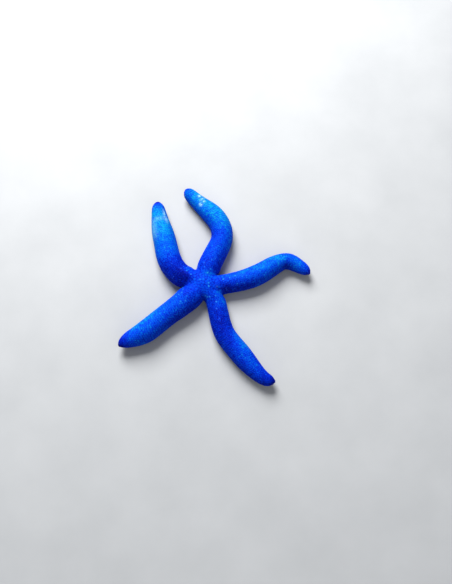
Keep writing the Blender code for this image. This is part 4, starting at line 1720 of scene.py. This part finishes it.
# ---------------- small parts of the disc
@dataclass
class Madreporite:
    """The sieve plate: a low limy dome, cut by fine winding furrows."""

    halves: tuple[float, float, float] = (0.0016, 0.0012, 0.0009)
    rings: int = 30
    spokes: int = 120
    furrows: int = 15
    furrow_depth: float = 0.00011
    furrow_waves: Span = (0.1, 0.9)
    crown_edge: Span = (0.10, 0.30)
    brim_edge: Span = (0.0, 0.25)
    top_share: float = 0.97
    # Strength, waves outwards and waves round of each way that the furrows wander.
    wanders: tuple[tuple[float, float, float], ...] = (
        (1.3, 7.0, 3.0), (0.7, 0.0, 5.0), (2.0, 13.0, 0.0))

    def build(self, place: Vector, normal: Vector, material: Material) -> Object:
        """Builds the plate.

        Args:
            place: Its middle.
            normal: The way that it faces.
            material: Its finish.

        Returns:
            The finished piece.
        """
        turn = normal.to_track_quat("Z", "Y").to_matrix()
        shape = bmesh.new()
        grid, cuts = [], []
        for ring in range(1, self.rings):
            slope = math.pi * ring / self.rings
            row = []
            for spoke in range(self.spokes):
                angle = math.tau * spoke / self.spokes
                out = math.sin(slope)
                wander = sum(strength * math.sin(outwards * out + round_it * angle)
                             for strength, outwards, round_it in self.wanders)
                wave = math.cos(self.furrows * angle + wander)
                cut = smooth_step(*self.furrow_waves, wave) * smooth_step(*self.crown_edge, out)
                cut = float(cut * smooth_step(*self.brim_edge, math.cos(slope)))
                flat = Vector((out * math.cos(angle), out * math.sin(angle), math.cos(slope)))
                shrink = 1.0 - cut * self.furrow_depth / self.halves[2]
                point = Vector([part * half for part, half in zip(flat, self.halves)]) * shrink
                row.append(shape.verts.new(place + turn @ point))
                cuts.append(cut)
            grid.append(row)
        ends = [[shape.verts.new(place + turn @ (UP * (share * self.halves[2])))]
                for share in (self.top_share, -1.0)]
        join_rings(shape, [ends[0], *grid, ends[1]])
        return furrowed_piece(shape, "sieve_plate", cuts + [0.0, 0.0], material)


@dataclass
class MouthMembrane:
    """The soft wrinkled ring in the mouth, drawn almost shut."""

    radius: float = 0.0034
    hole: float = 0.0003
    half: float = 0.0007
    wrinkles: int = 22
    wrinkle_wander: float = 0.8
    wander_waves: int = 3
    thickness: Span = (0.82, 0.15)
    rings: int = 26
    spokes: int = 132

    def build(self, place: Vector, material: Material) -> Object:
        """Builds the membrane.

        Args:
            place: Its middle.
            material: Its finish.

        Returns:
            The finished piece.
        """
        shape = bmesh.new()
        grid, folds = [], []
        for ring in range(self.rings):
            slope = math.tau * ring / self.rings
            row = []
            for spoke in range(self.spokes):
                angle = math.tau * spoke / self.spokes
                wander = self.wrinkle_wander * math.sin(self.wander_waves * angle)
                fold = math.cos(self.wrinkles * angle + wander)
                thick = self.half * (self.thickness[0] + self.thickness[1] * fold)
                middle = (self.radius + self.hole) / 2
                out = middle + (self.radius - middle) * math.cos(slope)
                point = direction(angle) * out + UP * (thick * math.sin(slope))
                row.append(shape.verts.new(place + point))
                folds.append(0.5 - 0.5 * fold)
            grid.append(row)
        join_rings(shape, grid + grid[:1])
        return furrowed_piece(shape, "mouth_membrane", folds, material)


# ---------------- finishes
# Waves to a metre, finer layers and strength of each layer of the mottling.
TONE_WAVES = ((38.0, 2.0, 0.34), (190.0, 3.0, 0.36), (620.0, 2.0, 0.36))
# How far each mask moves a place up or down the row of blues.
# Crown lightens the plates against painted shade in the valleys between them; Pore and Crease are
# painted shade in the pores, creases and folds; Lift darkens each granule towards its root, painted
# shade between the granules; Azure and Deep carry the washes' and patches' painted light and shade.
TONE_SHARES = (("Azure", 0.48), ("Deep", -0.34), ("Crown", 0.33), ("Fleck", 0.18),
               ("Pore", -0.14), ("Crease", -0.24), ("Lift", 0.07), ("Speck", 0.10))
# Colours are linear, each with its place on its row.
BLUES = ((0.00, (0.0000, 0.0035, 0.185)), (0.28, (0.0000, 0.0150, 0.425)),
         (0.50, (0.0000, 0.0440, 0.585)), (0.76, (0.0000, 0.1130, 0.540)),
         (1.00, (0.0020, 0.2500, 0.490)))
UNDER_TONES = ((0.30, (0.045, 0.085, 0.200)), (0.70, (0.125, 0.175, 0.260)))
# The colour of the pale washes: painted glints along the arms, and pale worn spots.
SCUFF_AND_GLINT = (0.36, 0.66, 0.84)
BUMP_STRENGTH = 0.5


@dataclass
class Effects:
    """The shader node groups that the finishes share, each built once.

    A contrast is what noise is multiplied by and what is then added to it.
    """

    tone_start: float = 0.105
    azure_spots: float = 0.20
    azure_fleck: float = 1.1
    azure_crown: float = 0.7
    scuff_and_glint_scale: float = 800.0
    scuff_and_glint_contrast: Span = (4.0, -1.3)
    under_scale: float = 300.0
    under_share: float = 0.85
    pit_scale: float = 0.7
    pit_share: float = 0.4
    mottle_contrast: Span = (1.6, 0.35)

    def __post_init__(self) -> None:
        """Builds the groups."""
        self.tone = self.body_tone()
        self.grain = self.skin_grain()
        self.mottle = self.two_tone()

    def body_tone(self) -> NodeTree:
        """The blue of the body, with its washes and patches (partly painted light and shade), its
        mottling, and its plates set against painted shade in their valleys, pores and creases.
        """
        names = [name.capitalize() for name in SKIN_FACTS + COAT_FACTS]
        graph, take, result = new_group("body_tone", "ShaderNodeTree",
                                        {name: (FLOAT, 0.0) for name in names},
                                        {"Color": COLOUR})
        value: Any = self.tone_start
        for scale, detail, share in TONE_WAVES:
            wave = graph.math("SUBTRACT", graph.noise(scale, detail), 0.5)
            value = graph.math("MULTIPLY_ADD", wave, share, value)
        for name, share in TONE_SHARES:
            value = graph.math("MULTIPLY_ADD", take[name], share, value)
        # Lighter plate crowns and flecks where azure is: the crowns stand against painted shade in
        # the valleys between the plates.
        spots = graph.math("MULTIPLY_ADD", take["Fleck"], self.azure_fleck,
                           graph.math("MULTIPLY", take["Crown"], self.azure_crown))
        spots = graph.math("MULTIPLY", take["Azure"], spots)
        value = graph.math("MULTIPLY_ADD", spots, self.azure_spots, value, clamp=True)
        # The pale washes broken up by noise: painted glints and pale worn spots.
        broken = graph.math("MULTIPLY_ADD", graph.noise(self.scuff_and_glint_scale, 2.0),
                            *self.scuff_and_glint_contrast, clamp=True)
        washed = graph.mix(graph.math("MULTIPLY", take["Pale"], broken),
                           graph.ramp(value, BLUES), SCUFF_AND_GLINT)
        share = graph.math("MULTIPLY", take["Under"], self.under_share)
        below = graph.ramp(graph.noise(self.under_scale), UNDER_TONES)
        graph.feed(result, {"Color": graph.mix(share, washed, below)})
        return graph.tree

    def skin_grain(self) -> NodeTree:
        """Fine limy grain and pits: a height for a bump, and a share for the roughness."""
        graph, take, result = new_group("skin_grain", "ShaderNodeTree",
                                        {"Scale": (FLOAT, 2600.0)},
                                        {"Height": FLOAT, "Rough": FLOAT})
        noise = graph.noise(take["Scale"], 2.0, 0.5)
        place = graph.node("ShaderNodeTexCoord").outputs["Object"]
        scale = graph.math("MULTIPLY", take["Scale"], self.pit_scale)
        cells = graph.node("ShaderNodeTexVoronoi", {"Vector": place, "Scale": scale})
        pits = graph.math("MULTIPLY", cells.outputs["Distance"], self.pit_share)
        graph.feed(result, {"Height": graph.math("ADD", noise, pits),
                            "Rough": graph.math("SUBTRACT", noise, 0.5)})
        return graph.tree

    def two_tone(self) -> NodeTree:
        """Two colours mottled together, the second one gathered where a mask is high."""
        grey = (0.5, 0.5, 0.5, 1.0)
        graph, take, result = new_group(
            "two_tone", "ShaderNodeTree",
            {"First": (COLOUR, grey), "Second": (COLOUR, grey), "Scale": (FLOAT, 1500.0),
             "Mask": (FLOAT, 0.0)}, {"Color": COLOUR, "Value": FLOAT})
        wave = graph.math("SUBTRACT", graph.noise(take["Scale"], 3.0, 0.5), 0.5)
        wave = graph.math("MULTIPLY_ADD", wave, *self.mottle_contrast)
        share = graph.math("ADD", wave, take["Mask"], clamp=True)
        graph.feed(result, {"Color": graph.mix(share, take["First"], take["Second"]),
                            "Value": share})
        return graph.tree


def new_material(name: str, roughness: float, specular: float) -> tuple[Any, Graph, Any]:
    """A Principled material with its constants set.

    Args:
        name: Its name.
        roughness: Its roughness.
        specular: Its specular level.

    Returns:
        The material, its graph and its shader node.
    """
    material = bpy.data.materials.new(name)
    material.use_nodes = True
    graph = Graph(material.node_tree)
    shader = material.node_tree.nodes["Principled BSDF"]
    graph.feed(shader, {"Roughness": roughness, "Specular IOR Level": specular})
    return material, graph, shader


def add_grain(graph: Graph, shader: Any, effects: Effects, scale: float, depth: float) -> Any:
    """Joins the shared grain to a shader's normal through a Bump node.

    Args:
        graph: The material's graph.
        shader: Its shader node.
        effects: The shared node groups.
        scale: How many grains to a metre.
        depth: How deep the relief is.

    Returns:
        The grain's outputs.
    """
    grain = graph.node("ShaderNodeGroup", node_tree=effects.grain)
    graph.feed(grain, {"Scale": scale})
    bump = graph.node("ShaderNodeBump", {"Height": grain.outputs["Height"], "Distance": depth,
                                         "Strength": BUMP_STRENGTH})
    graph.feed(shader, {"Normal": bump.outputs["Normal"]})
    return grain.outputs


@dataclass(frozen=True)
class BodyFinish:
    """The finish of the skin or of its granules: blue, limy and almost matt."""

    name: str
    coat: bool
    roughness: float = 0.60
    specular: float = 0.025
    grain_scale: float = 2600.0
    grain_depth: float = 0.00006
    rough_share: float = 0.22

    def build(self, effects: Effects) -> Material:
        """Builds the material.

        Args:
            effects: The shared node groups.

        Returns:
            The material.
        """
        material, graph, shader = new_material(self.name, self.roughness, self.specular)
        facts = SKIN_FACTS + (COAT_FACTS if self.coat else ())
        tone = graph.node("ShaderNodeGroup", node_tree=effects.tone)
        graph.feed(tone, {name.capitalize(): graph.fact(name) for name in facts})
        grain = add_grain(graph, shader, effects, self.grain_scale, self.grain_depth)
        rough = graph.math("MULTIPLY_ADD", grain["Rough"], self.rough_share, self.roughness)
        graph.feed(shader, {"Base Color": tone.outputs["Color"], "Roughness": rough})
        return material


@dataclass(frozen=True)
class MottledFinish:
    """A finish of two mottled colours, for the small parts."""

    name: str
    first: Colour
    second: Colour
    scale: float
    roughness: float
    specular: float
    mask: str = ""
    mask_share: float = 0.0
    depth: float = 0.00004
    rough_share: float = 0.15

    def build(self, effects: Effects) -> Material:
        """Builds the material.

        Args:
            effects: The shared node groups.

        Returns:
            The material.
        """
        material, graph, shader = new_material(self.name, self.roughness, self.specular)
        tones = graph.node("ShaderNodeGroup", node_tree=effects.mottle)
        graph.feed(tones, {"First": (*self.first, 1.0), "Second": (*self.second, 1.0),
                           "Scale": self.scale})
        if self.mask:
            share = graph.math("MULTIPLY", graph.fact(self.mask), self.mask_share)
            graph.feed(tones, {"Mask": share})
        rough = graph.math("MULTIPLY_ADD", tones.outputs["Value"], self.rough_share, self.roughness)
        graph.feed(shader, {"Base Color": tones.outputs["Color"], "Roughness": rough})
        add_grain(graph, shader, effects, self.scale * 2.0, self.depth)
        return material


SKIN_FINISH = BodyFinish("blue_skin", False)
GRANULE_FINISH = BodyFinish("blue_granules", True, grain_scale=5200.0, grain_depth=0.00003)
PAPULA_FINISH = MottledFinish("soft_papulae", (0.003, 0.085, 0.60), (0.001, 0.040, 0.38), 1800.0,
                              0.40, 0.15, "lift", -0.5)
FOOT_FINISH = MottledFinish("tube_feet", (0.50, 0.45, 0.28), (0.34, 0.33, 0.30), 900.0, 0.38,
                            0.30, "lift", 0.3)
SPINE_FINISH = MottledFinish("limy_spines", (0.36, 0.42, 0.44), (0.10, 0.19, 0.36), 1400.0,
                             0.50, 0.25, "lift", -0.25)
# The sieve plate darkens into its furrows: painted shade.
PLATE_FINISH = MottledFinish("limy_sieve", (0.022, 0.095, 0.700), (0.002, 0.020, 0.300),
                             2400.0, 0.60, 0.05, "furrow", 0.9)
# The membrane darkens in the troughs between its wrinkles: painted shade.
MEMBRANE_FINISH = MottledFinish("soft_membrane", (0.42, 0.36, 0.26), (0.19, 0.15, 0.14),
                                1500.0, 0.42, 0.35, "furrow", 0.6)
EYE_FINISH = MottledFinish("eye_spots", (0.42, 0.030, 0.012), (0.11, 0.006, 0.006), 3200.0,
                           0.24, 0.45)


# ---------------- the studio
@dataclass(frozen=True)
class SoftLight:
    """One square soft light, aimed at the animal."""

    name: str
    place: tuple[float, float, float]
    size: float
    power: float


@dataclass
class Studio:
    """A pale floor, a soft key light beyond the animal, a weak fill before it, and the camera."""

    lights: tuple[SoftLight, ...] = (
        SoftLight("key", (-0.27, 0.85, 0.82), 0.70, 34.0),
        SoftLight("fill", (0.45, -0.80, 0.70), 0.90, 2.0),
    )
    camera_place: tuple[float, float, float] = (0.02120, -0.16080, 0.58195)
    camera_turn: float = 15.0
    lens: float = 34.52
    sensor: float = 36.0
    world_colour: Colour = (0.92, 0.95, 1.0)
    world_strength: float = 0.30
    floor_half: float = 3.0
    floor_grain: float = 14.0
    floor_tones: tuple[tuple[float, Colour], ...] = (
        (0.3, (0.41, 0.42, 0.43)), (0.7, (0.45, 0.46, 0.47)))

    def build(self, centre: Vector) -> None:
        """Sets the studio up.

        Args:
            centre: The disc's centre, which the camera stands over and the lights point to.
        """
        scene = bpy.context.scene
        scene.view_settings.view_transform = "Standard"
        world = bpy.data.worlds.new("studio")
        world.use_nodes = True
        back = world.node_tree.nodes["Background"]
        back.inputs["Color"].default_value = (*self.world_colour, 1.0)
        back.inputs["Strength"].default_value = self.world_strength
        scene.world = world
        for light in self.lights:
            data = bpy.data.lights.new(light.name, "AREA")
            data.size, data.energy = light.size, light.power
            lamp = add_object(light.name, data)
            lamp.location = light.place
            lamp.rotation_euler = (centre - lamp.location).to_track_quat("-Z", "Y").to_euler()
        self.floor()
        data = bpy.data.cameras.new("camera")
        data.lens, data.sensor_width, data.clip_start = self.lens, self.sensor, 0.01
        camera = add_object("camera", data)
        camera.location = centre + Vector(self.camera_place)
        camera.rotation_euler = (math.radians(self.camera_turn), 0.0, 0.0)
        scene.camera = camera

    def floor(self) -> None:
        """A wide pale floor with a faint grain."""
        shape = bmesh.new()
        bmesh.ops.create_grid(shape, x_segments=8, y_segments=8, size=self.floor_half)
        data = bpy.data.meshes.new("floor")
        shape.to_mesh(data)
        shape.free()
        material, graph, shader = new_material("pale_floor", 0.8, 0.2)
        pale = graph.ramp(graph.noise(self.floor_grain, 4.0), self.floor_tones)
        graph.feed(shader, {"Base Color": pale})
        data.materials.append(material)
        add_object("floor", data)


# ---------------- the whole animal
def middle_of(node: str) -> Vector:
    """The middle of a solid's box."""
    low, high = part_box(node)
    return (Vector(low) + Vector(high)) / 2


@dataclass
class SeaStar:
    """Builds and dresses the whole animal, in order."""

    skin: Skin = field(default_factory=Skin)

    def build(self) -> None:
        """Builds every piece."""
        effects = Effects()
        eyes = {"eye_" + name: middle_of("eye_" + name) for name in ARM_NAMES}
        plate = middle_of("madreporite")
        mouth = middle_of("mouth")
        centre = Vector((mouth.x, mouth.y, 0.0))
        body = self.skin.build(centre, {**eyes, "madreporite": plate})
        body.data.materials.append(SKIN_FINISH.build(effects))
        nodes = [f"arm_{name}_{part}" for name in ARM_NAMES for part in ARM_PARTS]
        finish_piece(body, "arm_skin", "disc", *nodes)
        settle = build_settle_group()
        Coat(FormTree(Scatter.SURFACE, settle).build(), GRANULE_FINISH.build(effects),
             PAPULA_FINISH.build(effects)).build(body)
        Grooves(FormTree(Scatter.ROWS, settle).build(), FOOT_FINISH.build(effects),
                SPINE_FINISH.build(effects), self.skin).build(self.skin.surface)
        _, normal, _, _ = self.skin.smooth_surface.find_nearest(plate)
        finish_piece(Madreporite().build(plate, normal, PLATE_FINISH.build(effects)),
                     "madreporite", "madreporite")
        finish_piece(MouthMembrane().build(mouth, MEMBRANE_FINISH.build(effects)),
                     "mouth_membrane", "mouth")
        eye_finish = EYE_FINISH.build(effects)
        for name in eyes:
            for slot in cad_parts[name].material_slots:
                slot.material = eye_finish


def main() -> None:
    """Builds the sea star and its studio."""
    logging.basicConfig(level=logging.INFO, format="%(name)s: %(message)s")
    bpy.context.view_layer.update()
    star = SeaStar()
    star.build()
    Studio().build(star.skin.centre)


if __name__ == "__main__":
    main()
